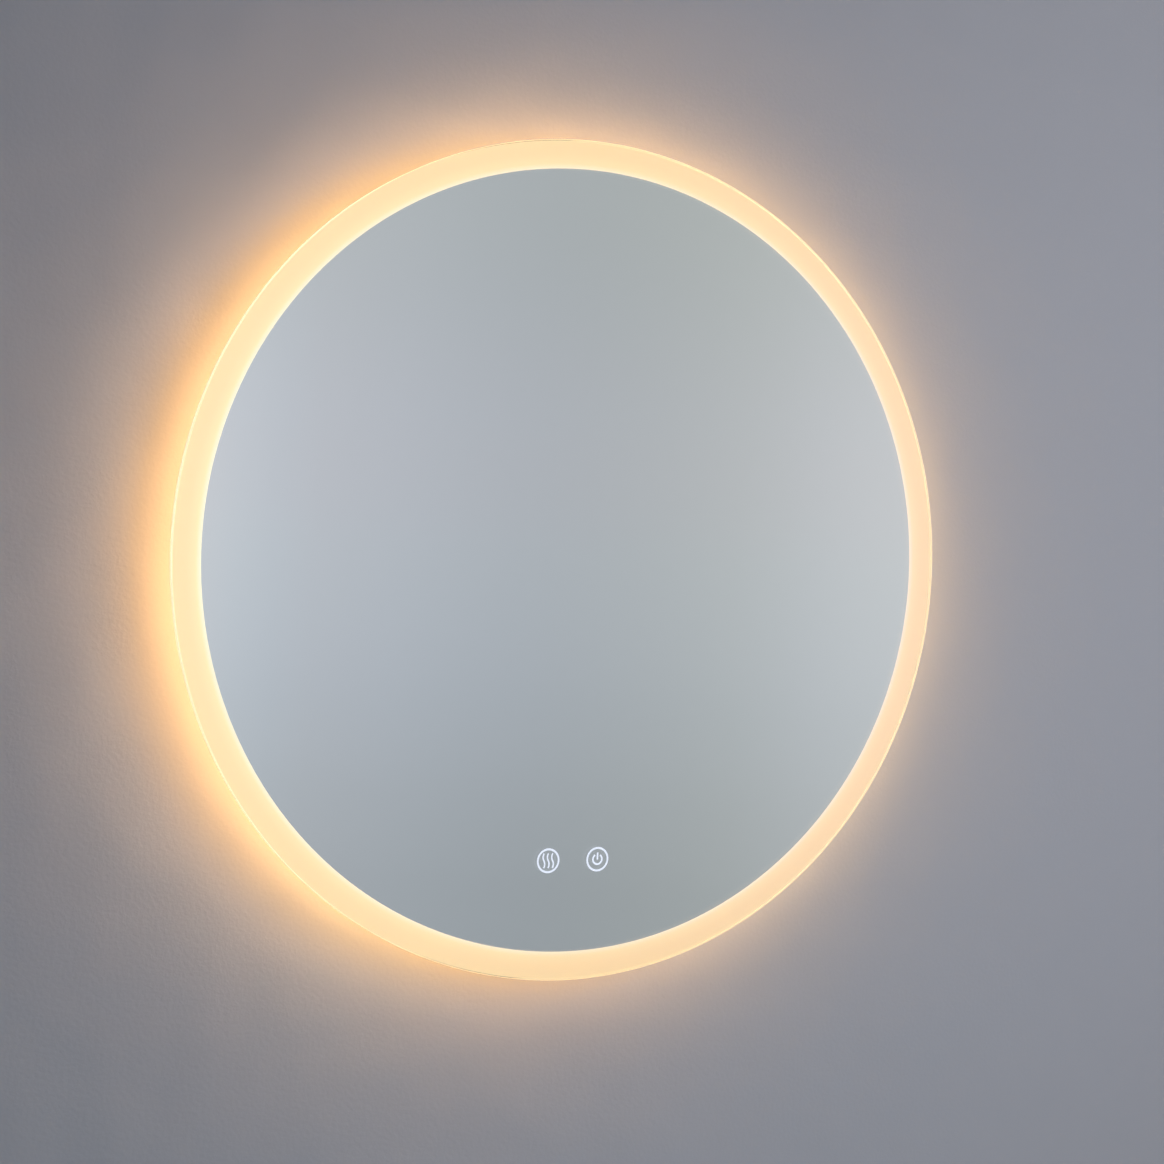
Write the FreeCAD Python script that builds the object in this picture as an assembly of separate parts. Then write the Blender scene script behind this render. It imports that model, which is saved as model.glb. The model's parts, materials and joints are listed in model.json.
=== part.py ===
"""Round back-lit bathroom mirror with touch controls and a demister, hung on a wall rail.

Millimetres.  X runs to the viewer's right, Y into the wall and Z up, and the wall's face is Y = 0.
Every piece is drawn about the mirror's own axis, which runs along Y through X = Z = 0.  It is moved
down as it is saved, so that the origin ends at the middle of the wall rail's screw line.
"""
import FreeCAD, Part
import math
import os

Vector = FreeCAD.Vector

# ---------------------------------------------------------------- glass and its coating
glass_diameter = 600.0
glass_thickness = 5.0
glass_arris = 1.0
frosted_band = 20.0
coating_thickness = 0.2

# ---------------------------------------------------------------- etched touch symbols
icon_spacing = 39.2
icon_rise = 86.0
icon_ring_diameter = 17.9
icon_ring_stroke = 1.5
wave_height = 10.6
wave_pitch = 3.4
wave_sway = 0.75
wave_stroke = 1.25
wave_count = 3
power_diameter = 8.6
power_stroke = 1.4
power_gap_angle = 64.0
power_bar_top = 4.9
power_bar_length = 5.2

# ---------------------------------------------------------------- wall rail and hanger
cleat_thickness = 2.0
cleat_clearance = 0.3
cleat_hook_depth = 12.0
cleat_hook_seat = 4.0
rail_length = 280.0
rail_flange = 24.0
rail_hole_spacing = 200.0
rail_slot_width = 5.5
rail_slot_length = 12.0
hanger_length = 320.0
hanger_flange = 24.0

# ---------------------------------------------------------------- crossbar
crossbar_thickness = 2.0
crossbar_height = 44.0
crossbar_set_in = 106.0
crossbar_fold = 6.0
crossbar_end_margin = 1.0
crossbar_fold_margin = 3.0

# ---------------------------------------------------------------- frame ring
frame_depth = 22.9
frame_wall = 1.6
frame_front_flange = 16.0
frame_back_flange = 14.0
frame_set_in = 3.0
frame_joint_gap = 0.3
channel_width = 16.0
channel_depth = 12.4
groove_depth = 0.8
groove_clearance = 0.1
diffuser_thickness = 2.0
diffuser_set_in = 1.0
bond_tape_thickness = 1.0
bond_tape_width = 24.0
bond_tape_margin = 2.0
bead_width = 6.0
bead_height = 2.4

# ---------------------------------------------------------------- joint plate of the frame ring
joiner_thickness = 1.6
joiner_width = 12.0
joiner_span_angle = 14.0
joiner_screw_angles = (-5.5, -2.5, 2.5, 5.5)

# ---------------------------------------------------------------- light strip
strip_width = 10.0
strip_thickness = 0.3
feed_angle = 248.0
chip_length = 3.5
chip_width = 2.8
chip_height = 0.7
chip_pitch = 16.6
chips_per_resistor = 3
resistor_length = 2.0
resistor_width = 1.25
resistor_height = 0.5
feed_clip_length = 16.0
feed_clip_width = 13.0
feed_clip_height = 4.0

# ---------------------------------------------------------------- screws, rivets and feet
rivet_diameter = 4.0
rivet_head_diameter = 8.0
rivet_head_height = 1.3
rivet_tail_diameter = 5.8
rivet_tail_length = 3.0
rivet_hole_clearance = 0.1
crossbar_rivet_offset = 10.0
hanger_rivet_count = 5
hanger_rivet_spacing = 70.0
small_screw_diameter = 3.0
small_screw_head_diameter = 5.5
small_screw_head_height = 2.0
small_screw_hole_clearance = 0.1
recess_arm = 2.6
recess_width = 0.7
recess_depth = 0.9
bumper_diameter = 13.0
bumper_stem_diameter = 6.0
bumper_bulb_diameter = 8.4
bumper_bulb_length = 3.0
bumper_angles = (222.0, 318.0)

# ---------------------------------------------------------------- driver
case_tape_thickness = 1.0
case_wall = 1.8
case_lid_thickness = 1.8
case_corner_radius = 4.0
case_tape_margin = 6.0
case_ring_gap = 16.47
boss_diameter = 6.4
boss_inset = 5.2
driver_length = 176.0
driver_height = 42.0
driver_gap = 5.0
driver_board_margin = 12.0
driver_board_thickness = 1.6
driver_board_stand = 2.0
driver_board_side_gap = 1.0
driver_lid_gap = 1.6
transformer_length = 24.0
transformer_width = 22.0
transformer_height = 11.0
transformer_yoke = 5.0
capacitor_diameter = 10.0
capacitor_height = 10.5
capacitor_offsets = (-44.0, -31.0, 34.0, 47.0)
driver_terminal_length = 8.0
driver_terminal_width = 12.0
driver_terminal_height = 8.0

# ---------------------------------------------------------------- terminal box and its gland
terminal_box_width = 56.0
terminal_box_height = 84.0
terminal_box_rise = 20.0
terminal_gasket = 1.0
terminal_gasket_width = 1.2
terminal_block_width = 34.0
terminal_block_height = 18.0
terminal_block_depth = 13.0
terminal_pitch = 10.0
terminal_poles = 3
gland_thread_diameter = 12.0
gland_hex = 15.0
gland_hex_length = 5.0
gland_side_gap = 0.6
gland_neck_inside = 6.5
gland_neck_outside = 9.0
gland_bore_diameter = 8.0
gland_seal_bore_diameter = 6.8
gland_seal_length = 7.0
gland_nut_diameter = 16.0
gland_nut_length = 12.0
gland_locknut_length = 4.0
gland_thread_clearance = 0.05

# ---------------------------------------------------------------- touch module
touch_tape_thickness = 0.5
touch_wall = 1.5
touch_front_wall = 1.2
touch_corner_radius = 3.0
touch_lid_thickness = 1.5
touch_well_room = 0.9
touch_well_wall = 1.5
touch_board_thickness = 1.2
touch_board_set_in = 1.9
touch_board_side_gap = 0.5
icon_film_thickness = 0.3
icon_film_clearance = 0.1
electrode_width = 2.0
electrode_gap = 0.2
electrode_side_gap = 1.4
touch_lamp_length = 3.5
touch_lamp_width = 2.8
touch_lamp_height = 1.2
touch_lamp_spacing = 6.0
touch_socket_length = 5.0
touch_socket_width = 6.0
touch_socket_depth = 5.6
touch_socket_set_in = 4.5
touch_socket_gap = 2.3
touch_lead_gap = 1.1
touch_lead_offset = 6.0

# ---------------------------------------------------------------- demister film
film_side_gap = 15.0
film_top_gap = 23.0
film_bottom_gap = 68.0
film_thickness = 0.3
film_corner_radius = 12.0
track_thickness = 0.15
track_width = 8.0
track_passes = 14
track_margin = 12.0
film_terminal_gap = 28.0
film_terminal_width = 24.0
film_terminal_height = 18.0
film_terminal_overlap = 9.0
film_terminal_cap = 2.0

# ---------------------------------------------------------------- leads
lead_floor_gap = 0.2
wiring_margin = 24.0
mains_lead_diameter = 6.0
supply_lead_diameter = 4.6
strip_lead_diameter = 3.6
film_lead_diameter = 3.6
earth_lead_diameter = 2.6
supply_lead_angles = (44.0, 22.0, 0.0, -22.0, -44.0)
mains_lead_angle = 143.0
lead_straight = 38.0
arc_share = 0.45
bush_length_ratio = 1.7
bush_wall = 1.4
bush_collar = 1.2
bush_collar_width = 2.6
clip_length = 8.0
clip_wall = 1.3
clip_foot_width = 16.0
clip_foot_thickness = 1.0

# ---------------------------------------------------------------- earth connection
earth_drop = 18.36
earth_exit_rise = 10.0
earth_lead_depth = 14.8
earth_lead_reach = 18.0
earth_lead_straight = 16.0
tag_diameter = 9.0
tag_thickness = 0.8
tag_barrel_length = 7.0
tag_barrel_wall = 0.5
tag_neck_width = 3.2
earth_nut_height = 2.4
earth_nut_hex = 7.0
earth_screw_diameter = 4.0

# ================================================================ derived places
glass_radius = glass_diameter / 2.0
silver_radius = glass_radius - frosted_band

# Depths, from the wall outwards (the wall is 0 and every depth in front of it is negative).
hook_back = -cleat_clearance
hook_front = hook_back - cleat_thickness
rail_lip_back = hook_front - cleat_clearance
rail_lip_front = rail_lip_back - cleat_thickness
hanger_back = rail_lip_front - cleat_clearance
hanger_front = hanger_back - cleat_thickness
crossbar_back = hanger_front
crossbar_front = crossbar_back - crossbar_thickness
frame_back = crossbar_front
frame_front = frame_back - frame_depth
coating_back = frame_front - bond_tape_thickness
glass_back = coating_back - coating_thickness
glass_front = glass_back - glass_thickness

# Radii of the frame ring, from its outer lips inwards.
lip_radius = silver_radius - frame_set_in
diffuser_outer = lip_radius - diffuser_set_in
diffuser_inner = diffuser_outer - diffuser_thickness
web_outer = diffuser_outer - channel_depth
web_inner = web_outer - frame_wall
front_flange_inner = web_inner - frame_front_flange
back_flange_inner = web_inner - frame_back_flange
flange_middle = web_inner - frame_back_flange / 2.0
channel_front = frame_front + frame_wall
channel_back = channel_front + channel_width
channel_middle = (channel_front + channel_back) / 2.0
wiring_radius = front_flange_inner - wiring_margin
strip_end_angle = math.degrees(math.atan2(feed_clip_length / 2.0, web_outer))

# Heights of the hanging parts above the mirror's axis.
crossbar_rise = front_flange_inner - crossbar_set_in
seat_level = crossbar_rise - hanger_flange / 2.0
rail_jog_top = seat_level - cleat_hook_depth - cleat_hook_seat
rail_jog_bottom = rail_jog_top - cleat_thickness
rail_bottom = rail_jog_bottom - rail_flange
rail_screw_level = rail_jog_bottom - rail_flange / 2.0
crossbar_bottom = crossbar_rise - crossbar_height / 2.0
crossbar_top = crossbar_rise + crossbar_height / 2.0

# The earth screw passes the frame ring just below the crossbar's end.
earth_angle = 180.0 - math.degrees(math.asin((crossbar_bottom - earth_drop) / flange_middle))

# The cases stand on the back of the glass on foam tape, and every lead runs just above their floor.
case_front = coating_back + case_tape_thickness
case_floor = case_front + case_wall
lead_y = case_floor + lead_floor_gap + mains_lead_diameter / 2.0
driver_level = crossbar_top + driver_gap + driver_height / 2.0
driver_board_front = case_floor + driver_board_stand
driver_board_back = driver_board_front + driver_board_thickness
driver_board_length = driver_length - 2.0 * case_wall - 2.0 * driver_board_margin
driver_back = driver_board_back + transformer_height + driver_lid_gap

# The terminal box stands beside the film, as far out as the frame ring lets it.
terminal_box_top = terminal_box_rise + terminal_box_height / 2.0
terminal_box_bottom = terminal_box_rise - terminal_box_height / 2.0
terminal_box_left = -math.sqrt((front_flange_inner - case_ring_gap) ** 2 - terminal_box_top ** 2)
terminal_box_x = terminal_box_left + terminal_box_width / 2.0
terminal_block_left = terminal_box_x - terminal_block_width / 2.0
terminal_block_top = terminal_box_rise + terminal_block_height / 2.0
gland_y = case_floor + gland_side_gap + gland_hex / 2.0
terminal_box_back = gland_y + gland_hex / 2.0 + gland_side_gap

# The touch module sits behind the two etched symbols, and its leads pass in front of its board.
touch_level = icon_rise - glass_radius
touch_front = coating_back + touch_tape_thickness
touch_board_front = lead_y + supply_lead_diameter / 2.0 + touch_lead_gap
touch_board_back = touch_board_front + touch_board_thickness
touch_back = touch_board_back + touch_board_set_in
touch_well_diameter = icon_ring_diameter + touch_well_room
electrode_inner = touch_well_diameter / 2.0 + touch_well_wall + electrode_gap
electrode_outer = electrode_inner + electrode_width
touch_socket_start = icon_spacing / 2.0 + electrode_outer + touch_socket_gap
touch_socket_end = touch_socket_start + touch_socket_length
touch_width = 2.0 * (touch_socket_end + touch_socket_set_in + touch_wall)
touch_height = 2.0 * (electrode_outer + electrode_side_gap + touch_wall)
icon_xs = (-icon_spacing / 2.0, icon_spacing / 2.0)

# The demister film fills the room between the terminal box, the crossbar and the touch module.
film_width = -2.0 * (terminal_box_left + terminal_box_width + film_side_gap)
film_top = crossbar_bottom - film_top_gap
film_bottom = touch_level + touch_height / 2.0 + film_bottom_gap
film_height = film_top - film_bottom
film_level = (film_top + film_bottom) / 2.0
film_back = coating_back + film_thickness
track_back = film_back + track_thickness
film_terminal_x = touch_width / 2.0 + film_terminal_gap
film_terminal_bottom = film_bottom - (film_terminal_height - film_terminal_overlap)


# ================================================================ plain shapes
def box(x0, x1, y0, y1, z0, z1):
    """A block between two corners."""
    return Part.makeBox(x1 - x0, y1 - y0, z1 - z0, Vector(x0, y0, z0))


def rod(radius, start, end):
    """A round bar between two points."""
    return Part.makeCylinder(radius, (end - start).Length, start, end - start)


def post(radius, x, z, y0, y1):
    """A round bar along Y, through one point of the mirror's plane."""
    return rod(radius, Vector(x, y0, z), Vector(x, y1, z))


def disc(radius, y0, y1):
    """A disc about the mirror's axis."""
    return post(radius, 0.0, 0.0, y0, y1)


def ring(inner, outer, y0, y1):
    """A flat ring about the mirror's axis."""
    return disc(outer, y0, y1).cut(disc(inner, y0, y1))


def revolved(outline, angle=360.0):
    """A closed outline of (radius, y) points turned about the mirror's axis."""
    corners = [Vector(r, y, 0.0) for r, y in outline]
    face = Part.Face(Part.makePolygon(corners + corners[:1]))
    return face.revolve(Vector(0, 0, 0), Vector(0, 1, 0), angle)


def along_x(outline, length):
    """A closed outline of (y, z) points drawn out to a bar along X, centred on X = 0."""
    corners = [Vector(-length / 2.0, y, z) for y, z in outline]
    return Part.Face(Part.makePolygon(corners + corners[:1])).extrude(Vector(length, 0, 0))


def polar(radius, angle, y=0.0):
    """The point at a radius and an angle, counted from +X towards +Z."""
    turn = math.radians(angle)
    return Vector(radius * math.cos(turn), y, radius * math.sin(turn))


def turned(shape, angle):
    """A copy of a shape drawn at the right-hand side, carried round the mirror's axis."""
    copy = shape.copy()
    copy.rotate(Vector(0, 0, 0), Vector(0, 1, 0), -angle)
    return copy


def rounded_plate(x, z, width, height, radius, y0, y1):
    """A plate with round corners, centred on (x, z)."""
    half_w = width / 2.0 - radius
    half_h = height / 2.0 - radius
    edges = []
    centres = ((half_w, half_h), (-half_w, half_h), (-half_w, -half_h), (half_w, -half_h))
    arcs = []
    for quarter, (cx, cz) in enumerate(centres):
        centre = Vector(x + cx, y0, z + cz)
        points = [centre + polar(radius, 90.0 * quarter + step) for step in (0.0, 45.0, 90.0)]
        arcs.append(points)
    for here, after in zip(arcs, arcs[1:] + arcs[:1]):
        edges.append(Part.Arc(*here).toShape())
        edges.append(Part.LineSegment(here[2], after[0]).toShape())
    return Part.Face(Part.Wire(edges)).extrude(Vector(0, y1 - y0, 0))


def arc_band(x, z, radius, stroke, start, end, y0, y1):
    """A stroke of even width along an arc about (x, z)."""
    centre = Vector(x, y0, z)
    middle = (start + end) / 2.0
    outer = [centre + polar(radius + stroke / 2.0, a) for a in (start, middle, end)]
    inner = [centre + polar(radius - stroke / 2.0, a) for a in (end, middle, start)]
    edges = [
        Part.Arc(*outer).toShape(),
        Part.LineSegment(outer[2], inner[0]).toShape(),
        Part.Arc(*inner).toShape(),
        Part.LineSegment(inner[2], outer[0]).toShape(),
    ]
    return Part.Face(Part.Wire(edges)).extrude(Vector(0, y1 - y0, 0))


def hexagon(across_flats, start, end, flat_direction):
    """A hexagonal bar between two points, with one flat facing flat_direction."""
    axis = (end - start).normalize()
    side = axis.cross(flat_direction).normalize()
    corner_radius = across_flats / math.sqrt(3.0)
    corners = []
    for index in range(6):
        turn = math.radians(60.0 * index + 30.0)
        corners.append(start + flat_direction * (corner_radius * math.cos(turn))
                       + side * (corner_radius * math.sin(turn)))
    return Part.Face(Part.makePolygon(corners + corners[:1])).extrude(end - start)


def cut_all(shape, tools):
    """A shape with every tool taken out of it."""
    for tool in tools:
        shape = shape.cut(tool)
    return shape


def fused(shapes):
    """Several touching shapes as one solid."""
    whole = shapes[0]
    for shape in shapes[1:]:
        whole = whole.fuse(shape)
    return whole.removeSplitter()


def group(shapes):
    """Separate solids kept side by side."""
    return Part.makeCompound(list(shapes))


# ================================================================ fasteners
def rivet(x, z, head_face, grip):
    """A blind rivet along Y: a domed head behind the joint and a bulged tail in front of it."""
    head = Part.makeCone(rivet_head_diameter / 2.0, rivet_diameter / 2.0, rivet_head_height,
                         Vector(x, head_face, z), Vector(0, 1, 0))
    tail_face = head_face - grip
    shank = post(rivet_diameter / 2.0, x, z, tail_face, head_face)
    tail = post(rivet_tail_diameter / 2.0, x, z, tail_face - rivet_tail_length, tail_face)
    return fused([head, shank, tail])


def rivet_hole(x, z, y0, y1):
    """The clearance hole of one rivet."""
    return post(rivet_diameter / 2.0 + rivet_hole_clearance, x, z, y0, y1)


def small_screw(face, direction, length):
    """A pan-head screw with a cross recess; its head stands on face, against direction."""
    top = face - direction * small_screw_head_height
    head = rod(small_screw_head_diameter / 2.0, top, face)
    shank = rod(small_screw_diameter / 2.0, face, face + direction * length)
    side = Vector(0, 0, 1) if abs(direction.y) > 0.5 else Vector(0, 1, 0)
    across = direction.cross(side).normalize()
    along = direction.cross(across).normalize()
    screw = head.fuse(shank)
    for arm in (across, along):
        other = direction.cross(arm)
        corner = top - arm * (recess_arm / 2.0) - other * (recess_width / 2.0)
        slot = Part.Face(Part.makePolygon([
            corner,
            corner + arm * recess_arm,
            corner + arm * recess_arm + other * recess_width,
            corner + other * recess_width,
            corner,
        ])).extrude(direction * recess_depth)
        screw = screw.cut(slot)
    return screw


def small_screw_hole(start, end):
    """The clearance hole of one small screw."""
    return rod(small_screw_diameter / 2.0 + small_screw_hole_clearance, start, end)


def crossbar_rivet_spots():
    """Where the crossbar's ends are riveted to the frame ring's back flange."""
    spots = []
    for side in (-1.0, 1.0):
        for offset in (-crossbar_rivet_offset, crossbar_rivet_offset):
            z = crossbar_rise + offset
            spots.append((side * math.sqrt(flange_middle ** 2 - z ** 2), z))
    return spots


def hanger_rivet_spots():
    """Where the hanger is riveted to the crossbar."""
    first = -hanger_rivet_spacing * (hanger_rivet_count - 1) / 2.0
    return [(first + hanger_rivet_spacing * index, crossbar_rise) for index in range(hanger_rivet_count)]


# ================================================================ leads
def lead_path(points):
    """Straight runs joined by tangent arcs; each arc takes a share of the shorter run beside it."""
    edges = []
    start = points[0]
    for before, corner, after in zip(points, points[1:], points[2:]):
        arriving = (corner - before).normalize()
        leaving = (after - corner).normalize()
        half_turn = arriving.getAngle(leaving) / 2.0
        setback = arc_share * min((corner - before).Length, (after - corner).Length)
        radius = setback / math.tan(half_turn)
        into = corner - arriving * setback
        out = corner + leaving * setback
        towards_centre = (leaving - arriving).normalize()
        centre = corner + towards_centre * (radius / math.cos(half_turn))
        edges.append(Part.LineSegment(start, into).toShape())
        edges.append(Part.Arc(into, centre - towards_centre * radius, out).toShape())
        start = out
    edges.append(Part.LineSegment(start, points[-1]).toShape())
    return Part.Wire(edges)


def lead(points, diameter):
    """A round lead swept along its route."""
    start_direction = points[1] - points[0]
    circle = Part.Circle(points[0], start_direction, diameter / 2.0).toShape()
    return lead_path(points).makePipeShell([Part.Wire([circle])], True, False)


def mains_lead_points():
    """From the terminal block, up past the crossbar's end and into the driver's left-hand end."""
    return [
        Vector(terminal_box_x, lead_y, terminal_block_top),
        Vector(terminal_box_x, lead_y, terminal_box_top + lead_straight),
        polar(wiring_radius, mains_lead_angle, lead_y),
        Vector(-driver_length / 2.0 - lead_straight, lead_y, driver_level),
        Vector(-driver_board_length / 2.0, lead_y, driver_level),
    ]


def supply_lead_points():
    """From the driver's right-hand end, round inside the frame, into the touch module."""
    level = touch_level - touch_lead_offset
    return [
        Vector(driver_board_length / 2.0, lead_y, driver_level),
        Vector(driver_length / 2.0 + lead_straight, lead_y, driver_level),
        *[polar(wiring_radius, angle, lead_y) for angle in supply_lead_angles],
        Vector(touch_width / 2.0 + lead_straight, lead_y, level),
        Vector(touch_socket_end, lead_y, level),
    ]


def strip_lead_points():
    """From the touch module's left-hand end, turning out through the frame to the light strip."""
    corner_radius = touch_level / math.sin(math.radians(feed_angle))
    return [
        Vector(-touch_socket_end, lead_y, touch_level),
        polar(corner_radius, feed_angle, lead_y),
        polar(web_outer, feed_angle, lead_y),
    ]


def film_lead_points():
    """From the touch module's right-hand end, up to the demister film's terminal."""
    level = touch_level + touch_lead_offset
    knee = film_terminal_x - (film_terminal_x - touch_width / 2.0) / 3.0
    rise = (film_terminal_bottom - level) / 4.0
    return [
        Vector(touch_socket_end, lead_y, level),
        Vector(knee, lead_y, level),
        Vector(film_terminal_x, lead_y, level + rise),
        Vector(film_terminal_x, lead_y, film_terminal_bottom),
    ]


def earth_barrel_y():
    """Depth of the earth tag's barrel, which stands on the tag's plate."""
    tag_middle = frame_back - frame_wall - tag_thickness / 2.0
    return tag_middle - tag_barrel_wall - earth_lead_diameter / 2.0


def earth_lead_points():
    """From the terminal block, out of the box's left wall, to the tag on the frame's flange."""
    exit_y = case_front + earth_lead_depth
    level = terminal_box_rise + earth_exit_rise
    centre = polar(flange_middle, earth_angle, earth_barrel_y())
    backwards = polar(1.0, earth_angle + 90.0)
    barrel_end = centre + backwards * (tag_diameter / 2.0 + tag_barrel_length)
    return [
        Vector(terminal_block_left, exit_y, level),
        Vector(terminal_box_left - earth_lead_reach, exit_y, level),
        barrel_end + backwards * earth_lead_straight,
        barrel_end,
    ]


def bush(wall_face, outwards, diameter, wall):
    """A rubber sleeve through a case wall, tapering along the lead outside it."""
    radius = diameter / 2.0
    length = bush_length_ratio * diameter
    through = rod(radius + bush_wall, wall_face - outwards * wall, wall_face)
    collar = rod(radius + bush_collar_width, wall_face, wall_face + outwards * bush_collar)
    taper = Part.makeCone(radius + bush_wall + bush_collar_width / 4.0, radius + bush_wall / 2.0,
                          length, wall_face, outwards)
    bore = rod(radius, wall_face - outwards * wall, wall_face + outwards * length)
    return fused([through, collar, taper]).cut(bore)


def bush_hole(wall_face, outwards, diameter, wall):
    """The hole that a bush fills."""
    return rod(diameter / 2.0 + bush_wall, wall_face - outwards * wall, wall_face)


def driver_exits():
    """Wall face, outward direction and lead size at each end of the driver."""
    left = Vector(-driver_length / 2.0, lead_y, driver_level)
    right = Vector(driver_length / 2.0, lead_y, driver_level)
    return [
        (left, Vector(-1, 0, 0), mains_lead_diameter, case_wall),
        (right, Vector(1, 0, 0), supply_lead_diameter, case_wall),
    ]


def terminal_box_exits():
    """The mains lead leaves through the top wall and the earth lead through the left wall."""
    top = Vector(terminal_box_x, lead_y, terminal_box_top)
    level = terminal_box_rise + earth_exit_rise
    left = Vector(terminal_box_left, case_front + earth_lead_depth, level)
    return [
        (top, Vector(0, 0, 1), mains_lead_diameter, case_wall),
        (left, Vector(-1, 0, 0), earth_lead_diameter, case_wall),
    ]


def touch_exits():
    """The strip lead leaves on the left, the supply and film leads on the right."""
    left = Vector(-touch_width / 2.0, lead_y, touch_level)
    lower = Vector(touch_width / 2.0, lead_y, touch_level - touch_lead_offset)
    upper = Vector(touch_width / 2.0, lead_y, touch_level + touch_lead_offset)
    return [
        (left, Vector(-1, 0, 0), strip_lead_diameter, touch_wall),
        (lower, Vector(1, 0, 0), supply_lead_diameter, touch_wall),
        (upper, Vector(1, 0, 0), film_lead_diameter, touch_wall),
    ]


def lead_bushes():
    """One bush at each place where a lead passes a case wall."""
    return group(bush(*place) for place in driver_exits() + terminal_box_exits() + touch_exits())


def lead_clip(start, end, diameter):
    """An adhesive saddle halfway along a straight run, with its foot on the glass."""
    along = (end - start).normalize()
    across = along.cross(Vector(0, 1, 0))
    middle = (start + end) * 0.5
    radius = diameter / 2.0
    first = middle - along * (clip_length / 2.0)
    loop = rod(radius + clip_wall, first, first + along * clip_length)

    def slab(half_width, y0, y1):
        corner = Vector(first.x, y0, first.z) - across * half_width
        return Part.Face(Part.makePolygon([
            corner,
            corner + along * clip_length,
            corner + along * clip_length + across * (2.0 * half_width),
            corner + across * (2.0 * half_width),
            corner,
        ])).extrude(Vector(0, y1 - y0, 0))

    foot = slab(clip_foot_width / 2.0, coating_back, coating_back + clip_foot_thickness)
    stem = slab(radius + clip_wall, coating_back, lead_y)
    bore = rod(radius, first, first + along * clip_length)
    return fused([loop, foot, stem]).cut(bore)


def lead_clips():
    """Clips between the bends of the supply lead, and one on the mains lead."""
    supply = supply_lead_points()[2:2 + len(supply_lead_angles)]
    clips = [lead_clip(a, b, supply_lead_diameter) for a, b in zip(supply, supply[1:])]
    mains = mains_lead_points()
    clips.append(lead_clip(mains[2], mains[3], mains_lead_diameter))
    return group(clips)


# ================================================================ glass
def glass_pane():
    """Float glass with a polished edge and a small arris all round on both faces."""
    inner = glass_radius - glass_arris
    return revolved([
        (0.0, glass_front),
        (inner, glass_front),
        (glass_radius, glass_front + glass_arris),
        (glass_radius, glass_back - glass_arris),
        (inner, glass_back),
        (0.0, glass_back),
    ])


def wave_stroke_solid(x, z, y0, y1):
    """One rising-heat stroke: an arc that bows left above one that bows right."""
    half = wave_height / 4.0
    radius = (half ** 2 + wave_sway ** 2) / (2.0 * wave_sway)
    spread = math.degrees(math.asin(half / radius))
    reach = radius - wave_sway
    upper = arc_band(x + reach, z + half, radius, wave_stroke, 180.0 - spread, 180.0 + spread, y0, y1)
    lower = arc_band(x - reach, z - half, radius, wave_stroke, -spread, spread, y0, y1)
    return fused([upper, lower])


def demister_symbol(x, z, y0, y1):
    """Three rising-heat strokes side by side."""
    first = x - wave_pitch * (wave_count - 1) / 2.0
    return [wave_stroke_solid(first + wave_pitch * index, z, y0, y1) for index in range(wave_count)]


def power_symbol(x, z, y0, y1):
    """The common on-off sign: an open ring with a bar in its gap."""
    radius = (power_diameter - power_stroke) / 2.0
    half_gap = power_gap_angle / 2.0
    arc = arc_band(x, z, radius, power_stroke, 90.0 + half_gap, 450.0 - half_gap, y0, y1)
    half_bar = power_stroke / 2.0
    bar_top = z + power_bar_top
    bar = box(x - half_bar, x + half_bar, y0, y1, bar_top - power_bar_length, bar_top)
    return [arc, bar]


def silvering():
    """Silver and its paint on the back of the glass, with the two symbols etched through it."""
    coat = disc(silver_radius, glass_back, coating_back)
    outer = icon_ring_diameter / 2.0
    windows = []
    for x in icon_xs:
        border = post(outer, x, touch_level, glass_back, coating_back)
        core = post(outer - icon_ring_stroke, x, touch_level, glass_back, coating_back)
        windows.append(border.cut(core))
    windows += demister_symbol(icon_xs[0], touch_level, glass_back, coating_back)
    windows += power_symbol(icon_xs[1], touch_level, glass_back, coating_back)
    return cut_all(coat, windows)


# ================================================================ frame ring
def frame_profile():
    """Section of the rolled profile: a web, two inward flanges and the outward light channel."""
    slot_outer = diffuser_outer + groove_clearance
    slot_inner = diffuser_inner - groove_clearance
    return [
        (front_flange_inner, frame_front),
        (lip_radius, frame_front),
        (lip_radius, channel_front),
        (slot_outer, channel_front),
        (slot_outer, channel_front - groove_depth),
        (slot_inner, channel_front - groove_depth),
        (slot_inner, channel_front),
        (web_outer, channel_front),
        (web_outer, channel_back),
        (slot_inner, channel_back),
        (slot_inner, channel_back + groove_depth),
        (slot_outer, channel_back + groove_depth),
        (slot_outer, channel_back),
        (lip_radius, channel_back),
        (lip_radius, channel_back + frame_wall),
        (web_outer, channel_back + frame_wall),
        (web_outer, frame_back),
        (back_flange_inner, frame_back),
        (back_flange_inner, frame_back - frame_wall),
        (web_inner, frame_back - frame_wall),
        (web_inner, channel_front),
        (front_flange_inner, channel_front),
    ]


def joiner_screw_line(angle):
    """Start and end of one joint screw's shank, from under its head to just inside the web's face."""
    level = 90.0 + angle
    head_radius = small_screw_head_diameter / 2.0
    seat = math.sqrt((web_inner - joiner_thickness) ** 2 - head_radius ** 2)
    end = web_outer - small_screw_hole_clearance
    return polar(seat, level, channel_middle), polar(end, level, channel_middle)


def joiner_screw_hole(angle):
    """One joint screw's hole, right through the plate and the web."""
    level = 90.0 + angle
    return small_screw_hole(polar(front_flange_inner, level, channel_middle),
                            polar(lip_radius, level, channel_middle))


def feed_hole_radius():
    """The strip lead's hole in the web, with room for its grommet."""
    return strip_lead_diameter / 2.0 + bush_wall


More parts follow.
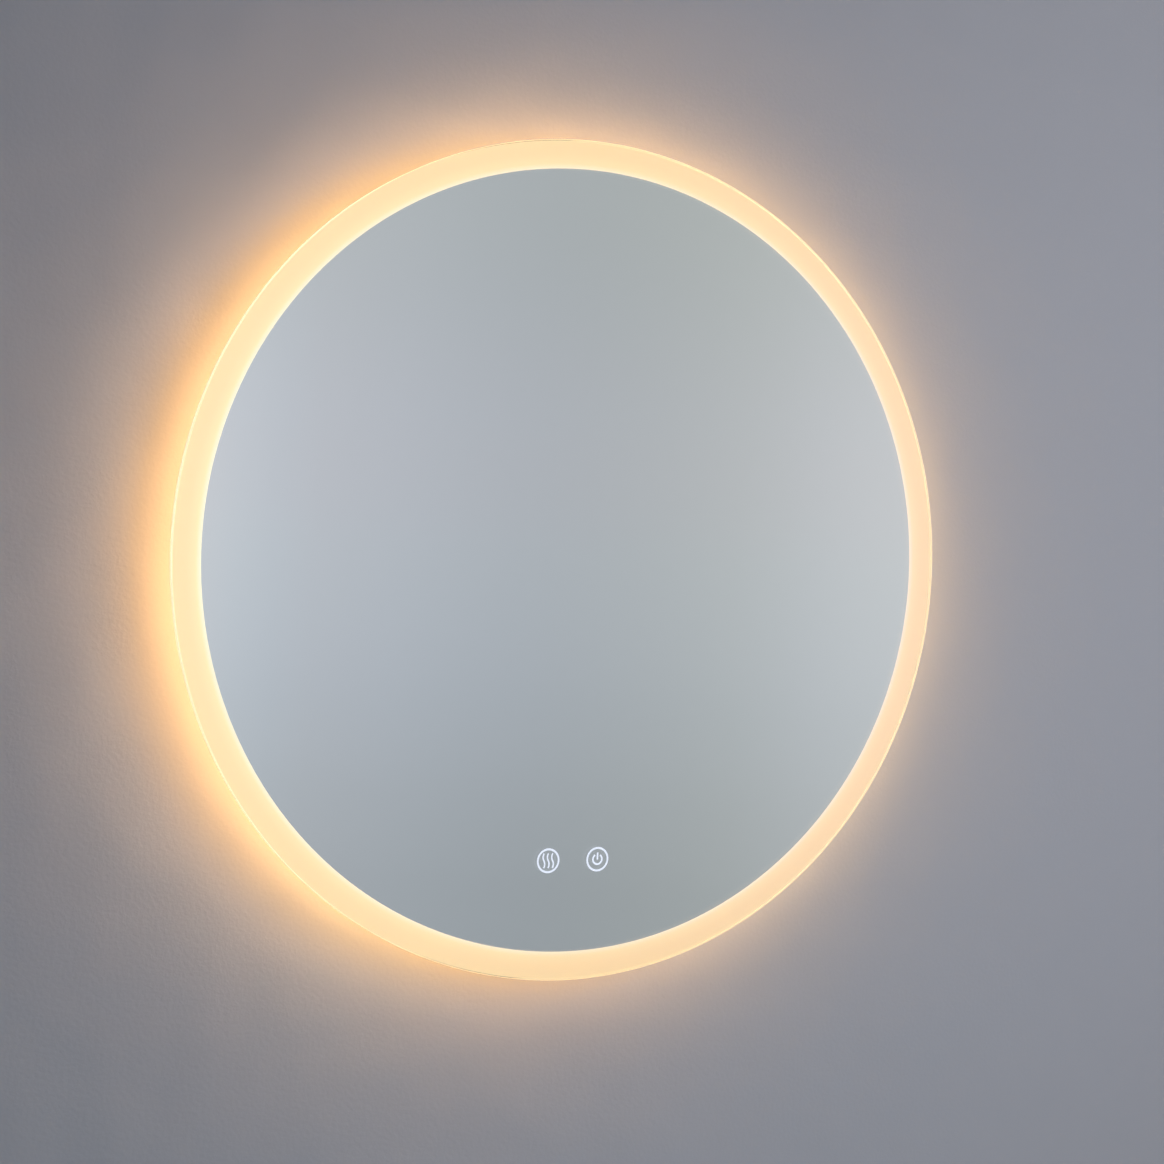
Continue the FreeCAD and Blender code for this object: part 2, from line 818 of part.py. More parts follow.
def frame_ring():
    """The rolled aluminium profile, with its butt joint at the top and all its holes."""
    whole = revolved(frame_profile())
    half_gap = frame_joint_gap / 2.0
    above = lip_radius + frame_wall
    tools = [box(-half_gap, half_gap, frame_front, frame_back, back_flange_inner / 2.0, above)]
    flange_front = frame_back - frame_wall
    for x, z in crossbar_rivet_spots():
        tools.append(rivet_hole(x, z, flange_front, frame_back))
    for angle in bumper_angles:
        spot = polar(flange_middle, angle)
        tools.append(post(bumper_stem_diameter / 2.0, spot.x, spot.z, flange_front, frame_back))
    earth = polar(flange_middle, earth_angle)
    tools.append(post(earth_screw_diameter / 2.0, earth.x, earth.z, flange_front, frame_back))
    tools += [joiner_screw_hole(angle) for angle in joiner_screw_angles]
    tools.append(rod(feed_hole_radius(), polar(front_flange_inner, feed_angle, lead_y),
                     polar(lip_radius, feed_angle, lead_y)))
    return cut_all(whole, tools)


def frame_joiner():
    """A curved plate inside the web that bridges the frame's butt joint."""
    section = [
        (web_inner - joiner_thickness, channel_middle - joiner_width / 2.0),
        (web_inner, channel_middle - joiner_width / 2.0),
        (web_inner, channel_middle + joiner_width / 2.0),
        (web_inner - joiner_thickness, channel_middle + joiner_width / 2.0),
    ]
    plate = turned(revolved(section, joiner_span_angle), 90.0 + joiner_span_angle / 2.0)
    return cut_all(plate, [joiner_screw_hole(angle) for angle in joiner_screw_angles])


def joiner_screws():
    """Screws through the joint plate and the web, flush with the web's outer face."""
    screws = []
    for angle in joiner_screw_angles:
        start, end = joiner_screw_line(angle)
        screws.append(small_screw(start, (end - start).normalize(), (end - start).Length))
    return group(screws)


def bond_tape():
    """Foam tape that holds the frame ring on the back of the glass."""
    outer = lip_radius - bond_tape_margin
    return ring(outer - bond_tape_width, outer, coating_back, frame_front)


def silicone_bead():
    """A bead of silicone in the corner between the glass and the frame's front flange."""
    return revolved([
        (front_flange_inner - bead_width, coating_back),
        (front_flange_inner, coating_back),
        (front_flange_inner, coating_back + bead_height),
    ])


def led_diffuser():
    """The opal strip that closes the light channel, held in the grooves of both lips."""
    reach = groove_depth - groove_clearance
    return ring(diffuser_inner, diffuser_outer, channel_front - reach, channel_back + reach)


def strip_sweep():
    """How far round the light strip runs, in degrees."""
    return 360.0 - 2.0 * strip_end_angle


def led_strip():
    """The flexible board of the light strip, stuck to the web all round but for the feed."""
    section = [
        (web_outer, channel_middle - strip_width / 2.0),
        (web_outer + strip_thickness, channel_middle - strip_width / 2.0),
        (web_outer + strip_thickness, channel_middle + strip_width / 2.0),
        (web_outer, channel_middle + strip_width / 2.0),
    ]
    return turned(revolved(section, strip_sweep()), feed_angle + 360.0 - strip_end_angle)


def strip_places():
    """Angles of the light strip's chips, evenly spaced from one end to the other."""
    count = int(math.radians(strip_sweep()) * web_outer / chip_pitch)
    step = strip_sweep() / count
    return [feed_angle + strip_end_angle + step * (index + 0.5) for index in range(count)], step


def strip_part(length, width, height, angle):
    """A small flat component on the strip's outer face."""
    face = web_outer + strip_thickness
    block = box(face, face + height, channel_middle - width / 2.0, channel_middle + width / 2.0,
                -length / 2.0, length / 2.0)
    return turned(block, angle)


def led_chips():
    """The white light-emitting chips."""
    angles, step = strip_places()
    return group(strip_part(chip_length, chip_width, chip_height, angle) for angle in angles)


def led_resistors():
    """One resistor between the chips of each group."""
    angles, step = strip_places()
    return group(strip_part(resistor_length, resistor_width, resistor_height, angle + step / 2.0)
                 for angle in angles[1:-1:chips_per_resistor])


def led_feed_clip():
    """The clip that joins the strip lead to the light strip's end."""
    block = box(web_outer, web_outer + feed_clip_height, channel_middle - feed_clip_width / 2.0,
                channel_middle + feed_clip_width / 2.0, -feed_clip_length / 2.0, feed_clip_length / 2.0)
    return turned(block, feed_angle).cut(disc(web_outer, channel_front, channel_back))


def feed_grommet():
    """The rubber ring that guards the strip lead where it passes the frame's web."""
    hole = feed_hole_radius()
    outwards = polar(1.0, feed_angle)
    web_face = polar(web_inner, feed_angle, lead_y)
    start = web_face - outwards * bush_collar
    end = polar(lip_radius, feed_angle, lead_y)
    collar = rod(hole + bush_wall, start, web_face).common(disc(web_inner, channel_front, frame_back))
    sleeve = rod(hole, start, end).common(disc(web_outer, frame_front, frame_back))
    return fused([collar, sleeve]).cut(rod(strip_lead_diameter / 2.0, start, end))


# ================================================================ hanging
def wall_rail():
    """The Z-shaped rail that is screwed to the wall; its upper lip stands off the wall."""
    bar = along_x([
        (0.0, rail_bottom),
        (0.0, rail_jog_top),
        (rail_lip_back, rail_jog_top),
        (rail_lip_back, seat_level),
        (rail_lip_front, seat_level),
        (rail_lip_front, rail_jog_bottom),
        (-cleat_thickness, rail_jog_bottom),
        (-cleat_thickness, rail_bottom),
    ], rail_length)
    radius = rail_slot_width / 2.0
    half_run = rail_slot_length / 2.0 - radius
    for x in (-rail_hole_spacing / 2.0, rail_hole_spacing / 2.0):
        middle = box(x - half_run, x + half_run, -cleat_thickness, 0.0,
                     rail_screw_level - radius, rail_screw_level + radius)
        ends = [post(radius, x + side, rail_screw_level, -cleat_thickness, 0.0)
                for side in (-half_run, half_run)]
        bar = cut_all(bar, [middle] + ends)
    return bar


def hanger_rail():
    """The mating rail on the mirror; its lip drops between the wall rail's lip and the wall."""
    bar = along_x([
        (hanger_front, seat_level),
        (hanger_front, seat_level + hanger_flange),
        (hanger_back, seat_level + hanger_flange),
        (hanger_back, seat_level + cleat_thickness),
        (hook_back, seat_level + cleat_thickness),
        (hook_back, seat_level - cleat_hook_depth),
        (hook_front, seat_level - cleat_hook_depth),
        (hook_front, seat_level),
    ], hanger_length)
    return cut_all(bar, [rivet_hole(x, z, hanger_front, hanger_back) for x, z in hanger_rivet_spots()])


def hanger_rivets():
    """Rivets through the hanger and the crossbar."""
    grip = cleat_thickness + crossbar_thickness
    return group(rivet(x, z, hanger_back, grip) for x, z in hanger_rivet_spots())


def crossbar():
    """The bar across the frame that carries the hanger, stiffened by a fold along each edge."""
    reach = glass_radius
    web = box(-reach, reach, crossbar_front, crossbar_back, crossbar_bottom, crossbar_top)
    web = web.common(disc(web_inner - crossbar_end_margin, crossbar_front, crossbar_back))
    fold_front = crossbar_front - crossbar_fold
    folds = []
    for low in (crossbar_bottom, crossbar_top - crossbar_thickness):
        fold = box(-reach, reach, fold_front, crossbar_front, low, low + crossbar_thickness)
        folds.append(fold.common(disc(back_flange_inner - crossbar_fold_margin, fold_front, crossbar_front)))
    holes = [rivet_hole(x, z, crossbar_front, crossbar_back)
             for x, z in crossbar_rivet_spots() + hanger_rivet_spots()]
    return cut_all(fused([web] + folds), holes)


def crossbar_rivets():
    """Rivets through the crossbar's ends and the frame ring's back flange."""
    grip = crossbar_thickness + frame_wall
    return group(rivet(x, z, crossbar_back, grip) for x, z in crossbar_rivet_spots())


def wall_bumpers():
    """Rubber feet pushed into the back flange; they keep the lower edge off the wall."""
    flange_front = frame_back - frame_wall
    feet = []
    for angle in bumper_angles:
        spot = polar(flange_middle, angle)
        pad = post(bumper_diameter / 2.0, spot.x, spot.z, frame_back, 0.0)
        stem = post(bumper_stem_diameter / 2.0, spot.x, spot.z, flange_front, frame_back)
        bulb_front = flange_front - bumper_bulb_length
        bulb = post(bumper_bulb_diameter / 2.0, spot.x, spot.z, bulb_front, flange_front)
        feet.append(fused([pad, stem, bulb]))
    return group(feet)


# ================================================================ cases
def boss_spots(x, z, width, height):
    """Where the four lid screws of a case stand."""
    across = width / 2.0 - boss_inset
    up = height / 2.0 - boss_inset
    return [(x + side * across, z + level * up) for side in (-1.0, 1.0) for level in (-1.0, 1.0)]


def case_tray(x, z, width, height, back, exits):
    """An open moulded case with its floor towards the glass, screw posts and lead holes."""
    outer = rounded_plate(x, z, width, height, case_corner_radius, case_front, back)
    inner = rounded_plate(x, z, width - 2.0 * case_wall, height - 2.0 * case_wall,
                          case_corner_radius - case_wall, case_floor, back)
    tray = outer.cut(inner)
    posts = []
    for px, pz in boss_spots(x, z, width, height):
        posts.append(post(boss_diameter / 2.0, px, pz, case_floor, back))
    tray = fused([tray] + posts)
    holes = [bush_hole(*place) for place in exits]
    for px, pz in boss_spots(x, z, width, height):
        holes.append(small_screw_hole(Vector(px, case_floor, pz), Vector(px, back, pz)))
    return cut_all(tray, holes)


def case_lid(x, z, width, height, front):
    """A flat lid with four screw holes."""
    back = front + case_lid_thickness
    lid = rounded_plate(x, z, width, height, case_corner_radius, front, back)
    holes = [small_screw_hole(Vector(px, front, pz), Vector(px, back, pz))
             for px, pz in boss_spots(x, z, width, height)]
    return cut_all(lid, holes)


def case_screws(x, z, width, height, lid_back):
    """The four screws of a lid, reaching down into the screw posts."""
    length = lid_back - case_floor - case_wall
    return group(small_screw(Vector(px, lid_back, pz), Vector(0, -1, 0), length)
                 for px, pz in boss_spots(x, z, width, height))


def case_tape(x, z, width, height):
    """Two strips of foam tape under a case, along its longer sides."""
    strips = []
    long_side = max(width, height) - 2.0 * case_tape_margin
    strip = min(width, height) / 3.0
    offset = min(width, height) / 2.0 - strip / 2.0
    for side in (-offset, offset):
        if width > height:
            strips.append(box(x - long_side / 2.0, x + long_side / 2.0, coating_back, case_front,
                              z + side - strip / 2.0, z + side + strip / 2.0))
        else:
            strips.append(box(x + side - strip / 2.0, x + side + strip / 2.0, coating_back, case_front,
                              z - long_side / 2.0, z + long_side / 2.0))
    return group(strips)


def driver_board():
    """The driver's circuit board."""
    inside = driver_height - 2.0 * case_wall - 2.0 * driver_board_side_gap
    half = driver_board_length / 2.0
    return box(-half, half, driver_board_front, driver_board_back,
               driver_level - inside / 2.0, driver_level + inside / 2.0)


def driver_transformer():
    """The transformer on the board: a wound body between the two yokes of its core."""
    half = transformer_length / 2.0
    back = driver_board_back + transformer_height
    low = driver_level - transformer_width / 2.0
    high = driver_level + transformer_width / 2.0
    winding_inset = transformer_yoke / 2.0
    yokes = [
        box(-half, half, driver_board_back, back, low, low + transformer_yoke),
        box(-half, half, driver_board_back, back, high - transformer_yoke, high),
    ]
    winding = box(-half + winding_inset, half - winding_inset, driver_board_back,
                  back - winding_inset / 2.0, low + transformer_yoke, high - transformer_yoke)
    return fused(yokes + [winding])


def driver_capacitors():
    """Round capacitors standing on the board."""
    back = driver_board_back + capacitor_height
    return group(post(capacitor_diameter / 2.0, x, driver_level, driver_board_back, back)
                 for x in capacitor_offsets)


def driver_terminals():
    """A terminal at each end of the board, where the leads are held."""
    half = driver_board_length / 2.0
    back = driver_board_back + driver_terminal_height
    low = driver_level - driver_terminal_width / 2.0
    high = driver_level + driver_terminal_width / 2.0
    return group([
        box(-half, -half + driver_terminal_length, driver_board_back, back, low, high),
        box(half - driver_terminal_length, half, driver_board_back, back, low, high),
    ])


# ================================================================ terminal box
def terminal_box_size():
    """Centre and outer size of the terminal box."""
    return terminal_box_x, terminal_box_rise, terminal_box_width, terminal_box_height


def terminal_box_base():
    """The terminal box's tray, with the gland's threaded hole in its lower wall."""
    tray = case_tray(*terminal_box_size(), terminal_box_back, terminal_box_exits())
    lower = Vector(terminal_box_x, gland_y, terminal_box_bottom)
    hole = rod(gland_thread_diameter / 2.0 + gland_thread_clearance, lower, lower + Vector(0, 0, case_wall))
    return tray.cut(hole)


def terminal_box_gasket():
    """The foam gasket under the terminal box's lid."""
    x, z, width, height = terminal_box_size()
    front = terminal_box_back
    back = front + terminal_gasket
    outer = rounded_plate(x, z, width, height, case_corner_radius, front, back)
    trim = 2.0 * terminal_gasket_width
    inner = rounded_plate(x, z, width - trim, height - trim, case_corner_radius - terminal_gasket_width,
                          front, back)
    return outer.cut(inner)


def terminal_block():
    """The three-way terminal block on the box's floor, with a wire entry at each end of each way."""
    back = case_floor + terminal_block_depth
    low = terminal_block_top - terminal_block_height
    body = box(terminal_block_left, terminal_block_left + terminal_block_width, case_floor, back,
               low, terminal_block_top)
    first = terminal_box_x - terminal_pitch * (terminal_poles - 1) / 2.0
    for index in range(terminal_poles):
        x = first + terminal_pitch * index
        for z in terminal_screw_levels():
            well = post(small_screw_head_diameter / 2.0 + small_screw_hole_clearance, x, z,
                        back - small_screw_head_height - terminal_gasket, back)
            body = body.cut(well)
    return body


def terminal_screw_levels():
    """Heights of the two rows of clamping screws."""
    quarter = terminal_block_height / 4.0
    return terminal_block_top - quarter, terminal_block_top - terminal_block_height + quarter


def terminal_screws():
    """The clamping screws, sunk in the block's wells."""
    floor = case_floor + terminal_block_depth - small_screw_head_height - terminal_gasket
    first = terminal_box_x - terminal_pitch * (terminal_poles - 1) / 2.0
    screws = []
    for index in range(terminal_poles):
        for z in terminal_screw_levels():
            x = first + terminal_pitch * index
            head = post(small_screw_head_diameter / 2.0, x, z, floor, floor + small_screw_head_height)
            slot = box(x - small_screw_head_diameter, x + small_screw_head_diameter,
                       floor + small_screw_head_height - recess_depth, floor + small_screw_head_height,
                       z - recess_width / 2.0, z + recess_width / 2.0)
            screws.append(head.cut(slot))
    return group(screws)


def gland_point(below):
    """A point on the cable gland's axis, a distance below the terminal box."""
    return Vector(terminal_box_x, gland_y, terminal_box_bottom - below)


def gland_body():
    """The gland's threaded body with its hexagonal collar against the box."""
    outer_end = gland_hex_length + gland_neck_outside
    inner_end = -case_wall - gland_neck_inside
    collar = hexagon(gland_hex, gland_point(0.0), gland_point(gland_hex_length), Vector(0, 1, 0))
    neck = rod(gland_thread_diameter / 2.0, gland_point(inner_end), gland_point(outer_end))
    bore = rod(gland_bore_diameter / 2.0, gland_point(inner_end), gland_point(outer_end))
    seat = rod(gland_seal_radius(), gland_point(outer_end - gland_seal_length), gland_point(outer_end))
    return cut_all(fused([collar, neck]), [bore, seat])


def gland_seal_radius():
    """The seal fills the mouth of the gland's body, less a thin wall."""
    return (gland_thread_diameter + gland_bore_diameter) / 4.0


def gland_seal():
    """The rubber ring that grips the cable."""
    outer_end = gland_hex_length + gland_neck_outside
    start = gland_point(outer_end - gland_seal_length)
    end = gland_point(outer_end)
    return rod(gland_seal_radius(), start, end).cut(rod(gland_seal_bore_diameter / 2.0, start, end))


def gland_nut():
    """The round-nosed nut that squeezes the seal."""
    start = gland_hex_length
    end = start + gland_nut_length
    skirt = gland_nut_length / 2.0
    body = rod(gland_nut_diameter / 2.0, gland_point(start), gland_point(start + skirt))
    nose = Part.makeCone(gland_nut_diameter / 2.0, gland_thread_diameter / 2.0, gland_nut_length - skirt,
                         gland_point(start + skirt), Vector(0, 0, -1))
    thread = rod(gland_thread_diameter / 2.0 + gland_thread_clearance, gland_point(start),
                 gland_point(gland_hex_length + gland_neck_outside))
    mouth = rod(gland_bore_diameter / 2.0, gland_point(start), gland_point(end))
    return cut_all(fused([body, nose]), [thread, mouth])


def gland_locknut():
    """The locknut inside the box."""
    start = gland_point(-case_wall)
    end = gland_point(-case_wall - gland_locknut_length)
    nut = hexagon(gland_hex, start, end, Vector(0, 1, 0))
    return nut.cut(rod(gland_thread_diameter / 2.0 + gland_thread_clearance, start, end))


# ================================================================ touch module
def touch_tape():
    """The tape frame that holds the touch module on the glass, open at the symbols."""
    tape = rounded_plate(0.0, touch_level, touch_width, touch_height, touch_corner_radius,
                         coating_back, touch_front)
    return cut_all(tape, [post(touch_well_diameter / 2.0, x, touch_level, coating_back, touch_front)
                          for x in icon_xs])


def icon_films():
    """Opal discs that spread the light behind the etched symbols."""
    radius = touch_well_diameter / 2.0 - icon_film_clearance
    back = coating_back + icon_film_thickness
    return group(post(radius, x, touch_level, coating_back, back) for x in icon_xs)


def touch_housing():
    """The moulded housing: a front wall, four sides and a light well behind each symbol."""
    shell = rounded_plate(0.0, touch_level, touch_width, touch_height, touch_corner_radius,
                          touch_front, touch_back)
    hollow = rounded_plate(0.0, touch_level, touch_width - 2.0 * touch_wall, touch_height - 2.0 * touch_wall,
                           touch_corner_radius - touch_wall, touch_front + touch_front_wall, touch_back)
    shell = shell.cut(hollow)
    well = touch_well_diameter / 2.0
    tubes = [post(well + touch_well_wall, x, touch_level, touch_front, touch_board_front) for x in icon_xs]
    bores = [post(well, x, touch_level, touch_front, touch_board_front) for x in icon_xs]
    return cut_all(fused([shell] + tubes), bores + [bush_hole(*place) for place in touch_exits()])


def touch_board():
    """The touch circuit board, lying on the ends of the light wells."""
    trim = 2.0 * touch_wall + 2.0 * touch_board_side_gap
    half_w = (touch_width - trim) / 2.0
    half_h = (touch_height - trim) / 2.0
    return box(-half_w, half_w, touch_board_front, touch_board_back,
               touch_level - half_h, touch_level + half_h)


def touch_lamps():
    """Two white chips in each light well."""
    lamps = []
    for centre in icon_xs:
        for offset in (-touch_lamp_spacing / 2.0, touch_lamp_spacing / 2.0):
            x = centre + offset
            lamps.append(box(x - touch_lamp_length / 2.0, x + touch_lamp_length / 2.0,
                             touch_board_front - touch_lamp_height, touch_board_front,
                             touch_level - touch_lamp_width / 2.0, touch_level + touch_lamp_width / 2.0))
    return group(lamps)


def touch_electrodes():
    """Conductive foam rings round the light wells; a finger on the glass is felt through them."""
    front = touch_front + touch_front_wall
    rings = []
    for x in icon_xs:
        outer = post(electrode_outer, x, touch_level, front, touch_board_front)
        rings.append(outer.cut(post(electrode_inner, x, touch_level, front, touch_board_front)))
    return group(rings)


def touch_sockets():
    """The sockets on the board where the three leads end."""
    front = touch_board_front - touch_socket_depth
    places = [
        (-touch_socket_end, touch_level),
        (touch_socket_start, touch_level - touch_lead_offset),
        (touch_socket_start, touch_level + touch_lead_offset),
    ]
    half = touch_socket_width / 2.0
    return group(box(x, x + touch_socket_length, front, touch_board_front, z - half, z + half)
                 for x, z in places)


def touch_lid():
    """The flat back of the touch module."""
    return rounded_plate(0.0, touch_level, touch_width, touch_height, touch_corner_radius,
                         touch_back, touch_back + touch_lid_thickness)


# ================================================================ demister
def demister_film():
    """The polyester heating film stuck to the back of the mirror."""
    return rounded_plate(0.0, film_level, film_width, film_height, film_corner_radius,
                         coating_back, film_back)


def demister_track():
    """The heating track: upright passes joined in turn at the top and at the bottom."""
    span = film_width - 2.0 * track_margin - track_width
    pitch = span / (track_passes - 1)
    low = film_bottom + track_margin
    high = film_bottom + film_height - track_margin
    passes = []
    for index in range(track_passes):
        x = -span / 2.0 + pitch * index
        passes.append(box(x - track_width / 2.0, x + track_width / 2.0, film_back, track_back, low, high))
        if index < track_passes - 1:
            level = high - track_width if index % 2 == 0 else low
            passes.append(box(x - track_width / 2.0, x + pitch + track_width / 2.0, film_back, track_back,
                              level, level + track_width))
    return fused(passes).cut(film_terminal_block(film_back, track_back))


def film_terminal_block(y0, y1):
    """The outline of the film's terminal between two depths."""
    half = film_terminal_width / 2.0
    return box(film_terminal_x - half, film_terminal_x + half, y0, y1,
               film_terminal_bottom, film_terminal_bottom + film_terminal_height)


def demister_terminal():
    """The moulded cover over the film's tail, where the film lead is joined."""
    top = lead_y + film_lead_diameter / 2.0 + film_terminal_cap
    return film_terminal_block(coating_back, top).cut(demister_film())


# ================================================================ earth connection
def earth_tag():
    """The ring tag on the frame's back flange, with its crimped barrel along the lead."""
    plate_back = frame_back - frame_wall
    plate_front = plate_back - tag_thickness
    centre = polar(flange_middle, earth_angle)
    backwards = polar(1.0, earth_angle + 90.0)
    plate = post(tag_diameter / 2.0, centre.x, centre.z, plate_front, plate_back)
    barrel_y = earth_barrel_y()
    start = Vector(centre.x, barrel_y, centre.z) + backwards * (tag_diameter / 2.0)
    end = start + backwards * tag_barrel_length
    barrel = rod(earth_lead_diameter / 2.0 + tag_barrel_wall, start, end)
    side = Vector(0, 1, 0).cross(backwards)
    corner = Vector(centre.x, plate_front, centre.z) - side * (tag_neck_width / 2.0)
    neck_run = backwards * (tag_diameter / 2.0 + tag_barrel_length)
    neck = Part.Face(Part.makePolygon([
        corner,
        corner + neck_run,
        corner + neck_run + side * tag_neck_width,
        corner + side * tag_neck_width,
        corner,
    ])).extrude(Vector(0, tag_thickness, 0))
    hole = post(earth_screw_diameter / 2.0, centre.x, centre.z, plate_front, plate_back)
    return fused([plate, neck, barrel]).cut(hole)


def earth_screw():
    """The screw through the flange and the tag, with its nut on the tag."""
    centre = polar(flange_middle, earth_angle)
    face = frame_back
    nut_back = frame_back - frame_wall - tag_thickness
    nut_front = nut_back - earth_nut_height
    head = post(small_screw_head_diameter / 2.0 + tag_thickness, centre.x, centre.z, face,
                face + small_screw_head_height)
    shank = post(earth_screw_diameter / 2.0, centre.x, centre.z, nut_front - tag_thickness, face)
    nut = hexagon(earth_nut_hex, Vector(centre.x, nut_back, centre.z), Vector(centre.x, nut_front, centre.z),
                  polar(1.0, earth_angle))
    return fused([head, shank, nut])


# ================================================================ the whole mirror
def driver_size():
    """Centre and outer size of the driver."""
    return 0.0, driver_level, driver_length, driver_height


def pieces():
    """Every piece of the mirror by name."""
    terminal_lid_front = terminal_box_back + terminal_gasket
    return {
        "wall_rail": wall_rail(),
        "glass_pane": glass_pane(),
        "silvering": silvering(),
        "frame_ring": frame_ring(),
        "frame_joiner": frame_joiner(),
        "joiner_screws": joiner_screws(),
        "bond_tape": bond_tape(),
        "silicone_bead": silicone_bead(),
        "led_strip": led_strip(),
        "led_chips": led_chips(),
        "led_resistors": led_resistors(),
        "led_feed_clip": led_feed_clip(),
        "feed_grommet": feed_grommet(),
        "led_diffuser": led_diffuser(),
        "crossbar": crossbar(),
        "crossbar_rivets": crossbar_rivets(),
        "hanger_rail": hanger_rail(),
        "hanger_rivets": hanger_rivets(),
        "wall_bumpers": wall_bumpers(),
        "driver_tape": case_tape(*driver_size()),
        "driver_case": case_tray(*driver_size(), driver_back, driver_exits()),
        "driver_board": driver_board(),
        "driver_transformer": driver_transformer(),
        "driver_capacitors": driver_capacitors(),
        "driver_terminals": driver_terminals(),
        "driver_lid": case_lid(*driver_size(), driver_back),
        "driver_screws": case_screws(*driver_size(), driver_back + case_lid_thickness),
        "terminal_box_tape": case_tape(*terminal_box_size()),
        "terminal_box_base": terminal_box_base(),
        "terminal_block": terminal_block(),
        "terminal_screws": terminal_screws(),
        "terminal_box_gasket": terminal_box_gasket(),
        "terminal_box_lid": case_lid(*terminal_box_size(), terminal_lid_front),
        "terminal_box_screws": case_screws(*terminal_box_size(), terminal_lid_front + case_lid_thickness),
        "gland_body": gland_body(),
        "gland_seal": gland_seal(),
        "gland_nut": gland_nut(),
        "gland_locknut": gland_locknut(),
        "touch_tape": touch_tape(),
        "icon_films": icon_films(),
        "touch_housing": touch_housing(),
        "touch_board": touch_board(),
        "touch_lamps": touch_lamps(),
        "touch_electrodes": touch_electrodes(),
        "touch_sockets": touch_sockets(),
        "touch_lid": touch_lid(),
        "demister_film": demister_film(),
        "demister_track": demister_track(),
        "demister_terminal": demister_terminal(),
        "mains_lead": lead(mains_lead_points(), mains_lead_diameter),
        "supply_lead": lead(supply_lead_points(), supply_lead_diameter),
        "strip_lead": lead(strip_lead_points(), strip_lead_diameter),
        "film_lead": lead(film_lead_points(), film_lead_diameter),
        "earth_lead": lead(earth_lead_points(), earth_lead_diameter),
        "lead_bushes": lead_bushes(),
        "lead_clips": lead_clips(),
        "earth_tag": earth_tag(),
        "earth_screw": earth_screw(),
    }


def main():
    """Save each piece, moved so that the origin is on the wall rail's screw line."""
    os.makedirs("parts", exist_ok=True)
    for name, shape in pieces().items():
        shape.translate(Vector(0, 0, -rail_screw_level))
        shape.exportStep(os.path.join("parts", name + ".step"))
        print(name, len(shape.Solids), "solids", round(shape.Volume, 1), "mm3", shape.isValid())


main()
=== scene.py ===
# %% [markdown]
# # A round back-lit bathroom mirror
#
# The object is a glass disc with a sandblasted border. A light strip in an aluminium ring behind it
# makes the border glow and throws a warm halo on the wall. Two touch symbols are etched through the
# silver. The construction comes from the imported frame, at its real size and in its real place. This
# file gives every surface its finish, and turns the few pieces that have to be smoother or that are
# only a finish on another piece, such as the sandblasted border.

# %% Load the frame
import json
import math

import bmesh
import bpy
import numpy as np
from mathutils import Matrix, Vector


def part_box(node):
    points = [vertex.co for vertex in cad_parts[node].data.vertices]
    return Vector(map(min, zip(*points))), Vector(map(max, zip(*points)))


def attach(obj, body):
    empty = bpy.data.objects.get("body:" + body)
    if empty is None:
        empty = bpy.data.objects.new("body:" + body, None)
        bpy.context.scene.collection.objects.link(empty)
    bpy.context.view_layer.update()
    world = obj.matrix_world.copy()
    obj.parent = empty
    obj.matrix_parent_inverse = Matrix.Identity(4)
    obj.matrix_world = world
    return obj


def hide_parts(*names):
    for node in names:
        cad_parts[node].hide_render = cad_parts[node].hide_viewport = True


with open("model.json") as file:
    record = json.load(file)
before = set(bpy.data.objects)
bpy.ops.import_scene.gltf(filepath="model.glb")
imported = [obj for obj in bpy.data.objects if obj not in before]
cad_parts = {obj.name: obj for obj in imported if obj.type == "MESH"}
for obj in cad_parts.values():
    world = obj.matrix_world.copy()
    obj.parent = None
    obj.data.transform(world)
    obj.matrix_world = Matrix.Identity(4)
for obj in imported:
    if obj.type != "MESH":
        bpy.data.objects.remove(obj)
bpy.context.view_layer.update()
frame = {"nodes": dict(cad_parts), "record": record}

# %% [markdown]
# ## Sizes
#
# Everything is in metres. The glass disc's own box in the frame gives the mirror's axis, its radius
# and the depth of its two faces, and two more boxes give the silver's and the opal strip's radius. The
# strip's thickness is written here in millimetres, as the frame has it. So is the width of the ground
# edge, which is half the frame's, because the bright line at the rim is thin. Depths run along Y: the
# wall is 0, and the room is on the negative side. The last two values hold for every mesh: how near two
# points are merged, and how steep an edge stays sharp.

# %% Sizes
MM = 0.001
glass_low, glass_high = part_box("glass_pane")
AXIS_Z = round((glass_low.z + glass_high.z) / 2.0, 4)
GLASS_RADIUS = round(glass_high.x, 4)
GLASS_FRONT = glass_low.y
GLASS_BACK = glass_high.y
SILVER_RADIUS = round(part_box("silvering")[1].x, 4)
ARRIS = 0.5 * MM
diffuser_low, diffuser_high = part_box("led_diffuser")
DIFFUSER_OUTER = round(diffuser_high.x, 4)
DIFFUSER_THICKNESS = 2.0 * MM
MERGE_DISTANCE = 0.001 * MM
SHARP_ANGLE = math.radians(35.0)
print("axis", AXIS_Z, "radius", GLASS_RADIUS, "silver", SILVER_RADIUS, "diffuser", DIFFUSER_OUTER)

# %% [markdown]
# ## The camera
#
# The camera stands to the left of the mirror and looks to the right, so the disc shows as an ellipse.
# Its place, its direction and its lens were worked out from that ellipse. The camera is held a little
# turned about its own line of sight. A camera looks along its own negative Z with Y up, so its matrix
# is built from three directions: right, up and backwards.

# %% The camera
CAMERA_PLACE = Vector((-0.58666, -1.24359, -0.08807))
CAMERA_AZIMUTH = math.radians(25.763)
CAMERA_ELEVATION = math.radians(-1.014)
CAMERA_ROLL = math.radians(2.706)
CAMERA_LENS = 57.9


